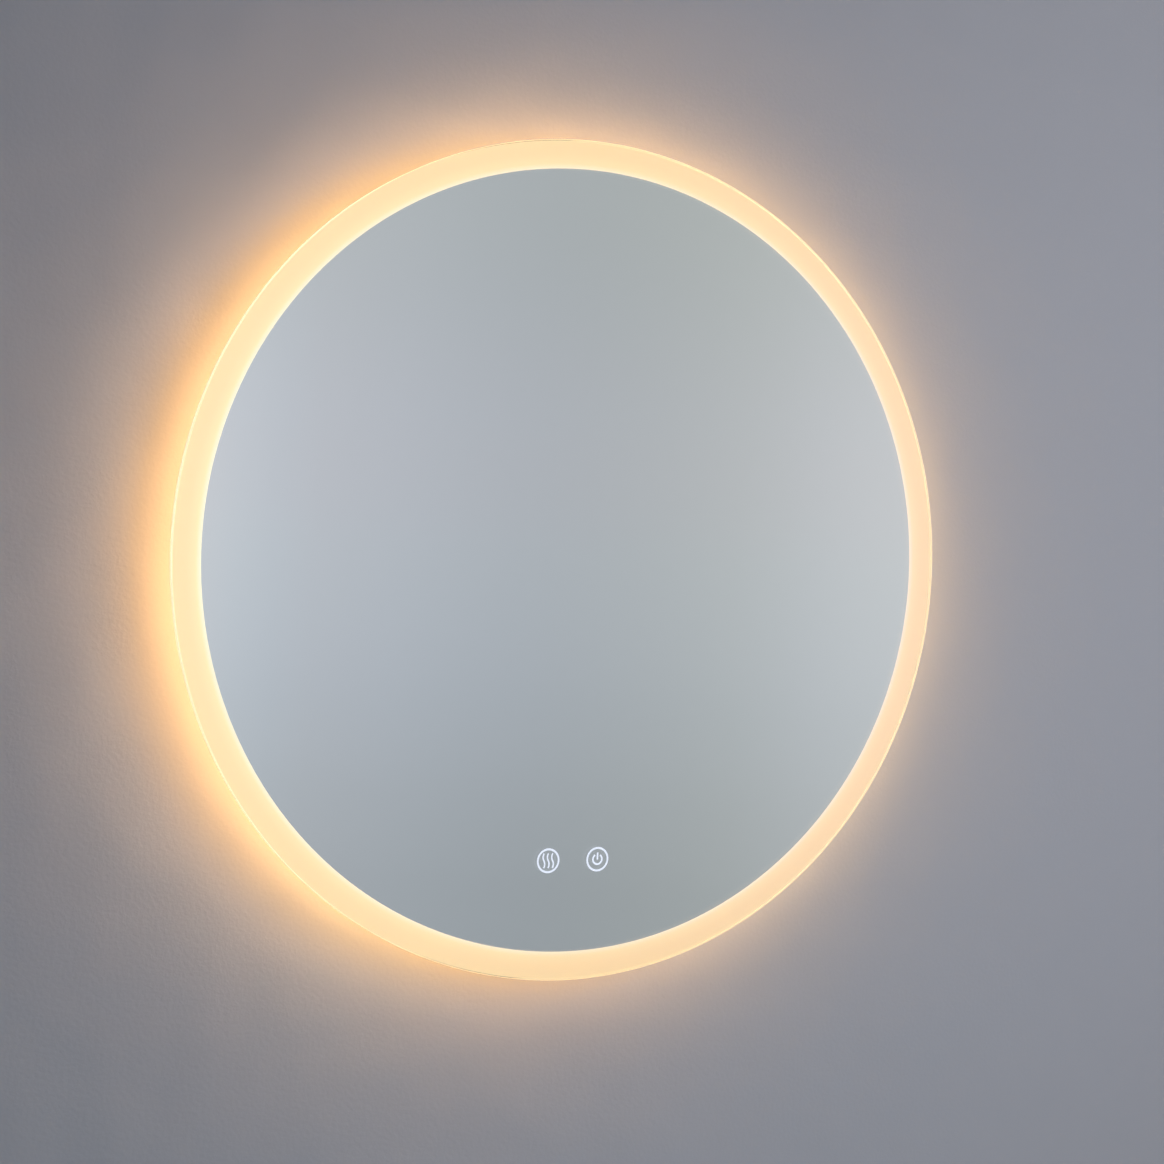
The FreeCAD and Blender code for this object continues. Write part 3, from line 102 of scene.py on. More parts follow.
def camera_matrix(place, azimuth, elevation, roll):
    """The forward direction comes from two angles, right is level, and the roll mixes right and up."""
    forward = Vector((math.sin(azimuth) * math.cos(elevation),
                      math.cos(azimuth) * math.cos(elevation), math.sin(elevation)))
    level = forward.cross(Vector((0, 0, 1))).normalized()
    upright = level.cross(forward)
    right = level * math.cos(roll) + upright * math.sin(roll)
    up = upright * math.cos(roll) - level * math.sin(roll)
    turn = Matrix((right, up, -forward)).transposed()
    return Matrix.Translation(place) @ turn.to_4x4()


lens = bpy.data.cameras.new("camera")
lens.lens = CAMERA_LENS
lens.sensor_width = 36.0
lens.clip_start = 0.01
camera = bpy.data.objects.new("camera", lens)
camera.matrix_world = camera_matrix(CAMERA_PLACE, CAMERA_AZIMUTH, CAMERA_ELEVATION, CAMERA_ROLL)
bpy.context.scene.collection.objects.link(camera)
bpy.context.scene.camera = camera
print("camera", round((CAMERA_PLACE - Vector((0, GLASS_FRONT, AXIS_Z))).length, 3), "m from the glass")

# %% [markdown]
# ## Small tools for materials
#
# Colours are written as sRGB hex values, as a picture editor shows them, and one function turns them
# into the linear values that the shaders compute with. Another adds a node with its settings and its
# links. The rest start a material, or let a pattern or a measured value move its colour, its roughness
# or its surface. Patterns are sized in millimetres: on coordinates in metres, a noise with the scale
# 1000 / size has blobs of about that size.

# %% Colour, node and pattern helpers
def linear(hex_colour, strength=1.0):
    """Undo the sRGB curve of each channel: c / 12.92 near black, else ((c + 0.055) / 1.055) ** 2.4."""
    channels = [int(hex_colour[i:i + 2], 16) / 255.0 for i in (1, 3, 5)]
    flat = [c / 12.92 if c <= 0.04045 else ((c + 0.055) / 1.055) ** 2.4 for c in channels]
    return (*[strength * c for c in flat], 1.0)


def add(tree, kind, links=None, **settings):
    """Add one node. Settings are its own options; links gives its inputs a value or another output."""
    node = tree.nodes.new("ShaderNode" + kind)
    for name, value in settings.items():
        setattr(node, name, value)
    for name, value in (links or {}).items():
        if isinstance(value, bpy.types.NodeSocket):
            tree.links.new(value, node.inputs[name])
        else:
            node.inputs[name].default_value = value
    return node


def per_mm(size):
    """The scale at which one blob of a pattern is this many millimetres wide."""
    return 1.0 / (size * MM)


def started(name, colour, roughness, **sockets):
    """A material with one Principled shader, and its object coordinates: material, tree, shader, place."""
    material = bpy.data.materials.new(name)
    material.use_nodes = True
    tree = material.node_tree
    tree.nodes.clear()
    values = {"Base Color": linear(colour), "Roughness": roughness}
    values.update({key.replace("_", " "): value for key, value in sockets.items()})
    shader = add(tree, "BsdfPrincipled", values)
    add(tree, "OutputMaterial", {"Surface": shader.outputs["BSDF"]})
    place = add(tree, "TexCoord").outputs["Object"]
    return material, tree, shader, place


def mottled(tree, shader, field, dark, light, rough_low, rough_high):
    """Let one pattern move the colour between two tones and the roughness between two values."""
    tones = add(tree, "Mix", {"Factor": field, "A": linear(dark), "B": linear(light)}, data_type="RGBA")
    shine = add(tree, "MapRange", {"Value": field, "To Min": rough_low, "To Max": rough_high})
    tree.links.new(tones.outputs["Result"], shader.inputs["Base Color"])
    tree.links.new(shine.outputs["Result"], shader.inputs["Roughness"])


def raised(tree, shader, field, height_mm):
    """Let a pattern lift the surface by up to height_mm."""
    relief = add(tree, "Bump", {"Height": field, "Distance": height_mm * MM, "Strength": 1.0})
    tree.links.new(relief.outputs["Normal"], shader.inputs["Normal"])


def toned(tree, value, stops, interpolation="LINEAR"):
    """Colour by a measured value. Each stop is (value, colour), and the first and last give the range."""
    first, last = stops[0][0], stops[-1][0]
    share = add(tree, "MapRange", {"Value": value, "From Min": first, "From Max": last})
    ramp = add(tree, "ValToRGB", {"Fac": share.outputs["Result"]})
    ramp.color_ramp.interpolation = interpolation
    points = ramp.color_ramp.elements
    while len(points) < len(stops):
        points.new(0.5)
    for point, (here, colour) in zip(points, stops):
        point.position = (here - first) / (last - first)
        point.color = linear(colour)
    return ramp.outputs["Color"]


# %% [markdown]
# ## The wall, the floor and the light
#
# A mirror hung in the air would lose its halo, so a plain wall stands just behind the wall rail, with
# the fine orange-peel relief that a roller leaves. It is a backdrop and not a part of the mirror. It
# shows only its front, casts no shadow and isn't reflected, so that the mirror's back can be looked at
# and lit as well. A pale floor lies well below.

# %% The wall and the floor
WALL_GAP = 0.3 * MM
WALL_TOP = 1.5
FLOOR_LEVEL = -1.2
FLOOR_DEPTH = 2.4
STAGE_HALF_WIDTH = 2.4
WAVES_OVER_STIPPLE = 12.0


def flat_panel(name, corners, material):
    """One rectangle of a backdrop, from its four corners."""
    mesh = bpy.data.meshes.new(name)
    mesh.from_pydata(corners, [], [range(4)])
    mesh.materials.append(material)
    panel = bpy.data.objects.new(name, mesh)
    bpy.context.scene.collection.objects.link(panel)
    return panel


def painted_plaster():
    """Matt emulsion on plaster: a mid grey, with a roller's stipple of 3.2 mm on waves 60 mm wide. The
    wall shows from its front alone."""
    material, tree, shader, place = started("painted_plaster", "#918E92", 0.62)
    stipple = add(tree, "TexNoise", {"Vector": place, "Scale": per_mm(3.2), "Detail": 3.0})
    waves = add(tree, "TexNoise", {"Vector": place, "Scale": per_mm(60.0), "Detail": 1.0})
    both = add(tree, "Math", {0: waves.outputs["Fac"], 1: WAVES_OVER_STIPPLE, 2: stipple.outputs["Fac"]},
               operation="MULTIPLY_ADD")
    raised(tree, shader, both.outputs["Value"], 0.16)
    behind = add(tree, "NewGeometry").outputs["Backfacing"]
    clear = add(tree, "BsdfTransparent").outputs["BSDF"]
    sided = add(tree, "MixShader", {0: behind, 1: shader.outputs["BSDF"], 2: clear})
    tree.links.new(sided.outputs["Shader"], tree.nodes["Material Output"].inputs["Surface"])
    return material


def pale_floor():
    """A matt pale floor, faintly cloudy. The camera sees a little light of its own on it as well."""
    material, tree, shader, place = started(
        "pale_floor", "#DCDAD6", 0.7, Emission_Color=linear("#8E9096"))
    cloud = add(tree, "TexNoise", {"Vector": place, "Scale": per_mm(90.0), "Detail": 4.0})
    mottled(tree, shader, cloud.outputs["Fac"], "#D6D4D0", "#E0DEDA", 0.65, 0.78)
    looked = add(tree, "LightPath").outputs["Is Camera Ray"]
    tree.links.new(looked, shader.inputs["Emission Strength"])
    return material


wall = flat_panel("backdrop_wall", [
    (-STAGE_HALF_WIDTH, WALL_GAP, FLOOR_LEVEL),
    (STAGE_HALF_WIDTH, WALL_GAP, FLOOR_LEVEL),
    (STAGE_HALF_WIDTH, WALL_GAP, WALL_TOP),
    (-STAGE_HALF_WIDTH, WALL_GAP, WALL_TOP),
], painted_plaster())
for seen_by in ("visible_shadow", "visible_glossy", "visible_diffuse"):
    setattr(wall, seen_by, False)
floor = flat_panel("floor", [
    (-STAGE_HALF_WIDTH, -FLOOR_DEPTH, FLOOR_LEVEL),
    (STAGE_HALF_WIDTH, -FLOOR_DEPTH, FLOOR_LEVEL),
    (STAGE_HALF_WIDTH, FLOOR_DEPTH, FLOOR_LEVEL),
    (-STAGE_HALF_WIDTH, FLOOR_DEPTH, FLOOR_LEVEL),
], pale_floor())
floor.visible_glossy = False
print("wall faces", tuple(wall.data.polygons[0].normal))

# %% [markdown]
# The light in the room is cool and comes mostly from the right, as from a window. A weak blue-green
# lamp low in front fills the lower part, and two lamps behind the wall light the mirror's back. Lamps
# are big, so that shadows stay soft, and a reflection doesn't show them, so that the glass shows only
# the room's tone.

# %% The lamps
def soft_lamp(name, place, size, power, colour):
    """A square area lamp that faces the point where the mirror's axis meets the wall."""
    lamp = bpy.data.lights.new(name, "AREA")
    lamp.size = size
    lamp.energy = power
    lamp.color = linear(colour)[:3]
    holder = bpy.data.objects.new(name, lamp)
    away = Vector(place) - Vector((0.0, 0.0, AXIS_Z))
    holder.matrix_world = Matrix.Translation(place) @ away.to_track_quat("Z", "Y").to_matrix().to_4x4()
    holder.visible_camera = False
    holder.visible_glossy = False
    holder.visible_transmission = False
    bpy.context.scene.collection.objects.link(holder)


soft_lamp("window_light", place=(0.8, -1.3, 0.15), size=1.0, power=20.8, colour="#EEF7FF")
soft_lamp("low_fill", place=(0.0, -0.9, -0.35), size=0.6, power=1.91, colour="#AFE6FF")
soft_lamp("back_light_left", place=(-1.3, 1.9, 0.5), size=1.2, power=26.0, colour="#FFFFFF")
soft_lamp("back_light_right", place=(1.5, 1.6, 0.9), size=1.2, power=26.0, colour="#FFFFFF")

# %% [markdown]
# A mirror shows the room in front of it, and here that room is the world. The tones that the photograph
# shows in the glass turn slowly from side to side and get darker downwards. Two colour ramps give them:
# one runs over the compass direction of a ray, the other over its height, and they are multiplied. The
# outer stops only make the room darker at its sides and towards the floor. Reflections alone see these
# ramps. The camera sees one pale tone. Surfaces are lit by a faint rosy tone from the room's side, and
# by a stronger neutral one from behind the wall, which only the mirror's back can see.

# %% The world
ROOM_SIDEWAYS = ((-150.0, "#DCDDE0"), (-70.0, "#B0AEB5"), (-10.0, "#D6D0D8"), (12.0, "#D9D2DA"),
                 (15.4, "#C7C6D2"), (17.4, "#C0BECA"), (21.1, "#B8B7C3"), (25.5, "#B3B2BC"),
                 (30.3, "#BBB9C0"), (33.0, "#C5C2CA"), (37.0, "#D0CCD3"), (60.0, "#D4D1D6"),
                 (100.0, "#B4B3B8"), (150.0, "#DCDDE0"))
ROOM_UPWARDS = ((-70.0, "#76787A"), (-30.0, "#A9ADAE"), (-13.0, "#D7DDDC"), (-10.0, "#E0E6E5"),
                (-7.0, "#E9EFEF"), (-4.0, "#F2F8F9"), (0.0, "#FAFFFF"), (4.0, "#FCFFFF"),
                (8.0, "#F7FBF8"), (12.0, "#F6FAF5"), (40.0, "#FFFFFF"), (80.0, "#F0F0F0"))
MIRRORED_STRENGTH = 1.04
FRONT_LIGHT = linear("#FFDDF0", 0.044)
BACK_LIGHT = linear("#EDF0F4", 0.5)
SEEN_TONE = linear("#DADCDF")


def room_tones():
    """Two plain tones light the surfaces, and a mirror sees the room's tones by direction."""
    world = bpy.data.worlds.new("room")
    bpy.context.scene.world = world
    world.use_nodes = True
    tree = world.node_tree
    tree.nodes.clear()
    ray = add(tree, "SeparateXYZ", {"Vector": add(tree, "TexCoord").outputs["Generated"]})
    towards_room = add(tree, "Math", {0: ray.outputs["Y"], 1: -1.0}, operation="MULTIPLY")
    compass = add(tree, "Math", {0: ray.outputs["X"], 1: towards_room.outputs["Value"]},
                  operation="ARCTAN2")
    height = add(tree, "Math", {0: ray.outputs["Z"]}, operation="ARCSINE")
    sideways = add(tree, "Math", {0: compass.outputs["Value"]}, operation="DEGREES")
    upwards = add(tree, "Math", {0: height.outputs["Value"]}, operation="DEGREES")
    tones = add(tree, "Mix", {
        "Factor": 1.0,
        "A": toned(tree, sideways.outputs["Value"], ROOM_SIDEWAYS, "CARDINAL"),
        "B": toned(tree, upwards.outputs["Value"], ROOM_UPWARDS, "CARDINAL"),
    }, data_type="RGBA", blend_type="MULTIPLY")
    rays = add(tree, "LightPath")
    behind = add(tree, "Math", {0: ray.outputs["Y"], 1: 0.0}, operation="GREATER_THAN").outputs["Value"]
    sides = add(tree, "Mix", {"Factor": behind, "A": FRONT_LIGHT, "B": BACK_LIGHT}, data_type="RGBA")
    plain = add(tree, "Background", {"Color": sides.outputs["Result"], "Strength": 1.0})
    pale = add(tree, "Background", {"Color": SEEN_TONE, "Strength": 1.0})
    mirrored = add(tree, "Background", {"Color": tones.outputs["Result"], "Strength": MIRRORED_STRENGTH})
    seen = add(tree, "MixShader", {0: rays.outputs["Is Camera Ray"], 1: plain.outputs["Background"],
                                   2: pale.outputs["Background"]})
    whole = add(tree, "MixShader", {0: rays.outputs["Is Glossy Ray"], 1: seen.outputs["Shader"],
                                    2: mirrored.outputs["Background"]})
    add(tree, "OutputWorld", {"Surface": whole.outputs["Shader"]})


room_tones()
bpy.context.scene.view_settings.view_transform = "Standard"

# %% [markdown]
# ## Turned pieces
#
# Most of what shows from the front is round about one axis: the glass, its sandblasted border and the
# opal strip. Each is a profile in radius and depth that is carried round the axis. The whole grid of
# points is worked out at once, and a radius of 0 closes the surface in the middle.

# %% Turn a profile about the mirror's axis
TURN_STEPS = 360


def turned(name, profile, material, closed=False):
    """Carry a profile of (radius, depth) points round the axis. At the turn t a point lies at
    (radius * cos t, depth, axis + radius * sin t). A closed profile joins its last point to its first."""
    radius, depth = np.array(profile).T
    turn = np.linspace(0.0, 2.0 * np.pi, TURN_STEPS, endpoint=False)
    points = np.stack([np.outer(radius, np.cos(turn)),
                       np.repeat(depth[:, None], TURN_STEPS, axis=1),
                       AXIS_Z + np.outer(radius, np.sin(turn))], axis=-1).reshape(-1, 3)
    grid = np.arange(len(points)).reshape(len(radius), TURN_STEPS)
    here = grid if closed else grid[:-1]
    after = np.roll(grid, -1, axis=0) if closed else grid[1:]
    faces = np.stack([here, np.roll(here, -1, axis=1), np.roll(after, -1, axis=1), after], axis=-1)
    return made(name, points, faces.reshape(-1, 4), material)


def made(name, points, faces, material):
    """Put points and faces into a mesh, merge what coincides, turn the faces outwards and smooth them.
    The piece rides on the mirror."""
    mesh = bpy.data.meshes.new(name)
    mesh.from_pydata(points.tolist(), [], faces.tolist())
    shape = bmesh.new()
    shape.from_mesh(mesh)
    bmesh.ops.remove_doubles(shape, verts=shape.verts, dist=MERGE_DISTANCE)
    bmesh.ops.recalc_face_normals(shape, faces=shape.faces)
    shape.to_mesh(mesh)
    shape.free()
    mesh.shade_smooth()
    mesh.set_sharp_from_angle(angle=SHARP_ANGLE)
    mesh.materials.append(material)
    piece = bpy.data.objects.new(name, mesh)
    bpy.context.scene.collection.objects.link(piece)
    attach(piece, "mirror")
    print(name, len(mesh.polygons), "faces")
    return piece


def about_axis(tree, place):
    """Measure a surface point: the vector (way round, depth, radius) in metres, the radius alone, and
    the turn in degrees, which is 0 at the right and 90 at the top."""
    centred = add(tree, "Mapping", {"Vector": place, "Location": (0.0, 0.0, -AXIS_Z)})
    parts = add(tree, "SeparateXYZ", {"Vector": centred.outputs["Vector"]})
    level = add(tree, "CombineXYZ", {"X": parts.outputs["X"], "Z": parts.outputs["Z"]})
    radius = add(tree, "VectorMath", {0: level.outputs["Vector"]}, operation="LENGTH").outputs["Value"]
    turn = add(tree, "Math", {0: parts.outputs["Z"], 1: parts.outputs["X"]}, operation="ARCTAN2")
    way = add(tree, "Math", {0: turn.outputs["Value"], 1: DIFFUSER_OUTER}, operation="MULTIPLY")
    vector = add(tree, "CombineXYZ", {"X": way.outputs["Value"], "Y": parts.outputs["Y"], "Z": radius})
    degrees = add(tree, "Math", {0: turn.outputs["Value"]}, operation="DEGREES")
    return vector.outputs["Vector"], radius, degrees.outputs["Value"]


# %% [markdown]
# ## The glass
#
# Float glass is clear and a little green, and its IOR is about 1.52. A small arris is ground round both
# edges. The light that the border sends into the pane is trapped between its faces and comes out at the
# rim, as a thin bright line. A renderer would need very many rays for that, so the rim carries a faint
# glow of its own. From outside it is brightest at the very edge. From inside the glass it is brightest
# along the front and just before the back arris. All of it fades to about half at the right. Shadow rays
# pass, so that lamps reach what lies behind the pane.

# %% The glass pane
SILVER_GAP = 0.03 * MM
RIM_START = GLASS_RADIUS - ARRIS
PANE_BACK = GLASS_BACK - SILVER_GAP
BACK_ARRIS = PANE_BACK - ARRIS
GLOW_EDGE = 0.02 * MM
RIM_GLOW = ((RIM_START - GLOW_EDGE, "#000000"), (RIM_START, "#8F7F64"),
            (GLASS_RADIUS - 0.06 * MM, "#8F7F64"), (GLASS_RADIUS - 0.03 * MM, "#F3D9AE"))
RIM_GLOW_INSIDE = ((RIM_START - GLOW_EDGE, "#000000"), (RIM_START, "#FFE2B4"))
RIM_DEPTH = ((GLASS_FRONT, "#FFFFFF"), (GLASS_FRONT + 2.0 * MM, "#C0C0C0"),
             (BACK_ARRIS - 0.8 * MM, "#909090"), (BACK_ARRIS - 0.7 * MM, "#FFFFFF"),
             (BACK_ARRIS - GLOW_EDGE, "#FFFFFF"), (BACK_ARRIS, "#C8C8C8"))
RIM_SHARE = ((-180.0, "#FFFFFF"), (-90.0, "#EBEBEB"), (0.0, "#BABABA"),
             (90.0, "#FFFFFF"), (180.0, "#FFFFFF"))


def float_glass():
    """Clear float glass with a glowing rim. Seen from outside, the glow is a tone by the radius. Seen
    from inside, a share by the depth multiplies it. A share by the turn multiplies both."""
    material, tree, shader, place = started(
        "float_glass", "#FBFEFC", 0.0, IOR=1.52, Transmission_Weight=1.0, Emission_Strength=1.0)
    radius, turn = about_axis(tree, place)[1:]
    depth = add(tree, "SeparateXYZ", {"Vector": place}).outputs["Y"]
    within = add(tree, "Mix", {
        "Factor": 1.0,
        "A": toned(tree, radius, RIM_GLOW_INSIDE),
        "B": toned(tree, depth, RIM_DEPTH),
    }, data_type="RGBA", blend_type="MULTIPLY")
    inside = add(tree, "NewGeometry").outputs["Backfacing"]
    rim = add(tree, "Mix", {
        "Factor": inside,
        "A": toned(tree, radius, RIM_GLOW),
        "B": within.outputs["Result"],
    }, data_type="RGBA")
    glow = add(tree, "Mix", {
        "Factor": 1.0,
        "A": rim.outputs["Result"],
        "B": toned(tree, turn, RIM_SHARE),
    }, data_type="RGBA", blend_type="MULTIPLY")
    tree.links.new(glow.outputs["Result"], shader.inputs["Emission Color"])
    clear = add(tree, "BsdfTransparent", {"Color": linear("#F4F8F6")}).outputs["BSDF"]
    shadows = add(tree, "LightPath").outputs["Is Shadow Ray"]
    passing = add(tree, "MixShader", {0: shadows, 1: shader.outputs["BSDF"], 2: clear})
    tree.links.new(passing.outputs["Shader"], tree.nodes["Material Output"].inputs["Surface"])
    return material


pane = turned("glass_pane_polished", [
    (0.0, GLASS_FRONT),
    (RIM_START, GLASS_FRONT),
    (GLASS_RADIUS, GLASS_FRONT + ARRIS),
    (GLASS_RADIUS, BACK_ARRIS),
    (RIM_START, PANE_BACK),
    (0.0, PANE_BACK),
], float_glass())
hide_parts("glass_pane")

# %% [markdown]
# ## The sandblasted border
#
# Blasting with fine grit turns the back of the glass matt and white outside the silver. It scatters the
# strip's light towards the viewer, brightest beside the silver and a little weaker towards the rim. The
# border is a finish on the pane, so it is drawn as a thin skin just behind it. Most of its light is a
# glow of its own, set by the radius, and a little weaker and pinker from left to right. The rest really
# comes through from the lit strip behind.

# %% The sandblasted border
SKIN_GAP = 0.02 * MM
SKIN_DEPTH = 0.05 * MM
BORDER_GLOW = ((SILVER_RADIUS, "#BABFBC"), (SILVER_RADIUS + 3.5 * MM, "#B4AB8D"),
               (SILVER_RADIUS + 10.0 * MM, "#B29E81"), (GLASS_RADIUS, "#A6967A"))
BORDER_SIDEWAYS = ((-GLASS_RADIUS, "#FFFFFF"), (0.0, "#F6E3DF"), (GLASS_RADIUS, "#EED3E8"))


def sandblasted_glass():
    """Matt scattering glass: grit of about 0.15 mm, drawn at 0.6 mm so that it shows at all."""
    material, tree, shader, place = started(
        "sandblasted_glass", "#D9C7A0", 0.55, IOR=1.3, Transmission_Weight=0.35, Emission_Strength=1.0)
    sideways = add(tree, "SeparateXYZ", {"Vector": place}).outputs["X"]
    glow = add(tree, "Mix", {
        "Factor": 1.0,
        "A": toned(tree, about_axis(tree, place)[1], BORDER_GLOW),
        "B": toned(tree, sideways, BORDER_SIDEWAYS),
    }, data_type="RGBA", blend_type="MULTIPLY")
    tree.links.new(glow.outputs["Result"], shader.inputs["Emission Color"])
    grit = add(tree, "TexNoise", {"Vector": place, "Scale": per_mm(0.6), "Detail": 2.0})
    raised(tree, shader, grit.outputs["Fac"], 0.05)
    return material


turned("sandblasted_border", [
    (SILVER_RADIUS, GLASS_BACK + SKIN_GAP),
    (RIM_START + SKIN_DEPTH, GLASS_BACK + SKIN_GAP),
    (RIM_START + SKIN_DEPTH, GLASS_BACK + SKIN_DEPTH),
    (SILVER_RADIUS, GLASS_BACK + SKIN_DEPTH),
], sandblasted_glass(), closed=True)

# %% [markdown]
# ## The opal strip
#
# An extruded opal acrylic strip closes the light channel. Only its outer face sends light out, so the
# piece has two materials: the lit face and the plain acrylic. The strip is far brighter than anything
# it lights. A surface gets its full light, and an eye or a reflection sees a milder warm tone, as a
# camera does that is set for such a bright thing. The strip isn't equally strong all round: it is
# strongest at the lower left, has a dim stretch at the bottom, and is weaker and warmer on the right.

# %% The opal strip
LIT_STRENGTH = 33.1
LOOKED_STRENGTH = 1.05
LOOKED_TONE = linear("#FFE6B8")
LIT_FACE_MARGIN = 0.1 * MM
STRIP_LIGHT = ((-180.0, "#FAC686"), (-145.0, "#FFCB8A"), (-120.0, "#F3C482"), (-90.0, "#D2A15D"),
               (-45.0, "#D8AD63"), (35.0, "#E7B769"), (120.0, "#EBBB7D"), (180.0, "#FAC686"))
EDGE_BEVEL = 0.6 * MM


def lit_opal():
    """Opal acrylic lit from inside: strong for surfaces, milder where it is looked at."""
    material, tree, shader, place = started("opal_acrylic_lit", "#4E4A42", 0.35)
    turn = about_axis(tree, place)[2]
    rays = add(tree, "LightPath")
    looked = add(tree, "Math", {0: rays.outputs["Is Camera Ray"], 1: rays.outputs["Is Glossy Ray"]},
                 operation="MAXIMUM").outputs["Value"]
    light = add(tree, "Mix", {
        "Factor": looked,
        "A": toned(tree, turn, STRIP_LIGHT, "CARDINAL"),
        "B": LOOKED_TONE,
    }, data_type="RGBA")
    strength = add(tree, "MapRange", {"Value": looked, "To Min": LIT_STRENGTH, "To Max": LOOKED_STRENGTH})
    tree.links.new(light.outputs["Result"], shader.inputs["Emission Color"])
    tree.links.new(strength.outputs["Result"], shader.inputs["Emission Strength"])
    return material


def opal_acrylic():
    """Opal acrylic that isn't lit: milky and satin, with a little light in its depth."""
    return started("opal_acrylic", "#F4F0E6", 0.4, Subsurface_Weight=0.3, Subsurface_Scale=2.0 * MM)[0]


opal = turned("led_diffuser_opal", [
    (DIFFUSER_OUTER, diffuser_low.y + EDGE_BEVEL),
    (DIFFUSER_OUTER, diffuser_high.y - EDGE_BEVEL),
    (DIFFUSER_OUTER - EDGE_BEVEL, diffuser_high.y),
    (DIFFUSER_OUTER - DIFFUSER_THICKNESS, diffuser_high.y),
    (DIFFUSER_OUTER - DIFFUSER_THICKNESS, diffuser_low.y),
    (DIFFUSER_OUTER - EDGE_BEVEL, diffuser_low.y),
], opal_acrylic(), closed=True)
opal.data.materials.append(lit_opal())
reach = np.array([math.hypot(f.center.x, f.center.z - AXIS_Z) for f in opal.data.polygons])
lit = reach > DIFFUSER_OUTER - LIT_FACE_MARGIN
opal.data.polygons.foreach_set("material_index", lit.astype(np.int32))
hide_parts("led_diffuser")
print("lit faces", int(lit.sum()))

# %% [markdown]
# ## Silver and paint
#
# The silver lies on the back of the glass and is sealed with a grey paint. Both are one thin node. The
# side that touches the glass is a perfect mirror, and everything behind it is paint, so the depth of a
# point decides which of the two it is. The paint is curtain coated: smooth, with a faint orange peel.

# %% Silver and its paint
PAINT_START = GLASS_BACK + 0.05 * MM


def silver_and_paint():
    """A sharp step in depth switches between a metal mirror and a satin grey paint."""
    material, tree, shader, place = started("silver_and_paint", "#878C8E", 0.38)
    depth = add(tree, "SeparateXYZ", {"Vector": place}).outputs["Y"]
    painted = add(tree, "Math", {0: depth, 1: PAINT_START}, operation="GREATER_THAN").outputs["Value"]
    cloud = add(tree, "TexNoise", {"Vector": place, "Scale": per_mm(45.0), "Detail": 4.0})
    mottled(tree, shader, cloud.outputs["Fac"], "#7E8486", "#8F9496", 0.32, 0.46)
    peel = add(tree, "TexNoise", {"Vector": place, "Scale": per_mm(2.5), "Detail": 1.0})
    raised(tree, shader, peel.outputs["Fac"], 0.04)
    silver = add(tree, "BsdfPrincipled", {"Base Color": linear("#FCFCFA"), "Metallic": 1.0,
                                          "Roughness": 0.0})
    both = add(tree, "MixShader", {0: painted, 1: silver.outputs["BSDF"], 2: shader.outputs["BSDF"]})
    tree.links.new(both.outputs["Shader"], tree.nodes["Material Output"].inputs["Surface"])
    return material


# %% [markdown]
# ## Metals
#
# The ring is an aluminium extrusion in mill finish, so fine die lines run along it, round the axis. The
# rails and the crossbar are cut from zinc-plated sheet, whose rolling lines run along X, under a slightly
# cloudy, cool passivation. Rivets and screws are small and are just satin, with a little variation.

# %% Metals
def mill_aluminium():
    """Extruded aluminium: die lines 0.5 mm apart and 90 mm long, drawn by stretching a noise."""
    material, tree, shader, place = started("mill_aluminium", "#D6D8DA", 0.36, Metallic=1.0)
    way = about_axis(tree, place)[0]
    drawn = add(tree, "Mapping", {"Vector": way, "Scale": (per_mm(90.0), per_mm(0.5), per_mm(0.5))})
    lines = add(tree, "TexNoise", {"Vector": drawn.outputs["Vector"], "Scale": 1.0, "Detail": 3.0})
    mottled(tree, shader, lines.outputs["Fac"], "#C6C9CC", "#E4E6E8", 0.28, 0.46)
    raised(tree, shader, lines.outputs["Fac"], 0.02)
    return material


def zinc_plated_sheet():
    """Rolled and zinc-plated steel: lines along X, and clouds of 25 mm in the passivation."""
    material, tree, shader, place = started("zinc_plated_sheet", "#C4CACF", 0.4, Metallic=1.0)
    rolled = add(tree, "Mapping", {"Vector": place, "Scale": (per_mm(60.0), per_mm(0.6), per_mm(0.6))})
    lines = add(tree, "TexNoise", {"Vector": rolled.outputs["Vector"], "Scale": 1.0, "Detail": 3.0})
    clouds = add(tree, "TexNoise", {"Vector": place, "Scale": per_mm(25.0), "Detail": 4.0})
    both = add(tree, "Math", {0: lines.outputs["Fac"], 1: clouds.outputs["Fac"]}, operation="MULTIPLY")
    spread = add(tree, "MapRange", {"Value": both.outputs["Value"], "From Min": 0.12, "From Max": 0.42})
    mottled(tree, shader, spread.outputs["Result"], "#A9B1B7", "#D9DDE1", 0.3, 0.5)
    raised(tree, shader, lines.outputs["Fac"], 0.02)
    return material


def small_metal(name, dark, light):
    """Satin metal of small turned or headed parts, with tool marks of about 0.8 mm."""
    material, tree, shader, place = started(name, light, 0.3, Metallic=1.0)
    marks = add(tree, "TexNoise", {"Vector": place, "Scale": per_mm(0.8), "Detail": 2.0})
    mottled(tree, shader, marks.outputs["Fac"], dark, light, 0.22, 0.4)
    return material


# %% [markdown]
# ## Plastics and rubbers
#
# Cases are moulded in ABS against a spark-eroded tool, which leaves a fine even grain. Grain of 0.3 mm is
# too fine to show from a step away, so it is drawn at 0.9 mm. Nylon clips are smoother and a little
# see-through. Rubber is matt and a little uneven. Foam tape shows its cut cells at the edges.

# %% Plastics and rubbers
def moulded(name, dark, light, rough_low, rough_high, grain_mm, height_mm):
    """Moulded plastic: broad, barely visible tone changes and an even grain."""
    material, tree, shader, place = started(name, light, rough_low)
    tone = add(tree, "TexNoise", {"Vector": place, "Scale": per_mm(30.0), "Detail": 3.0})
    mottled(tree, shader, tone.outputs["Fac"], dark, light, rough_low, rough_high)
    grain = add(tree, "TexNoise", {"Vector": place, "Scale": per_mm(grain_mm), "Detail": 1.0})
    raised(tree, shader, grain.outputs["Fac"], height_mm)
    return material


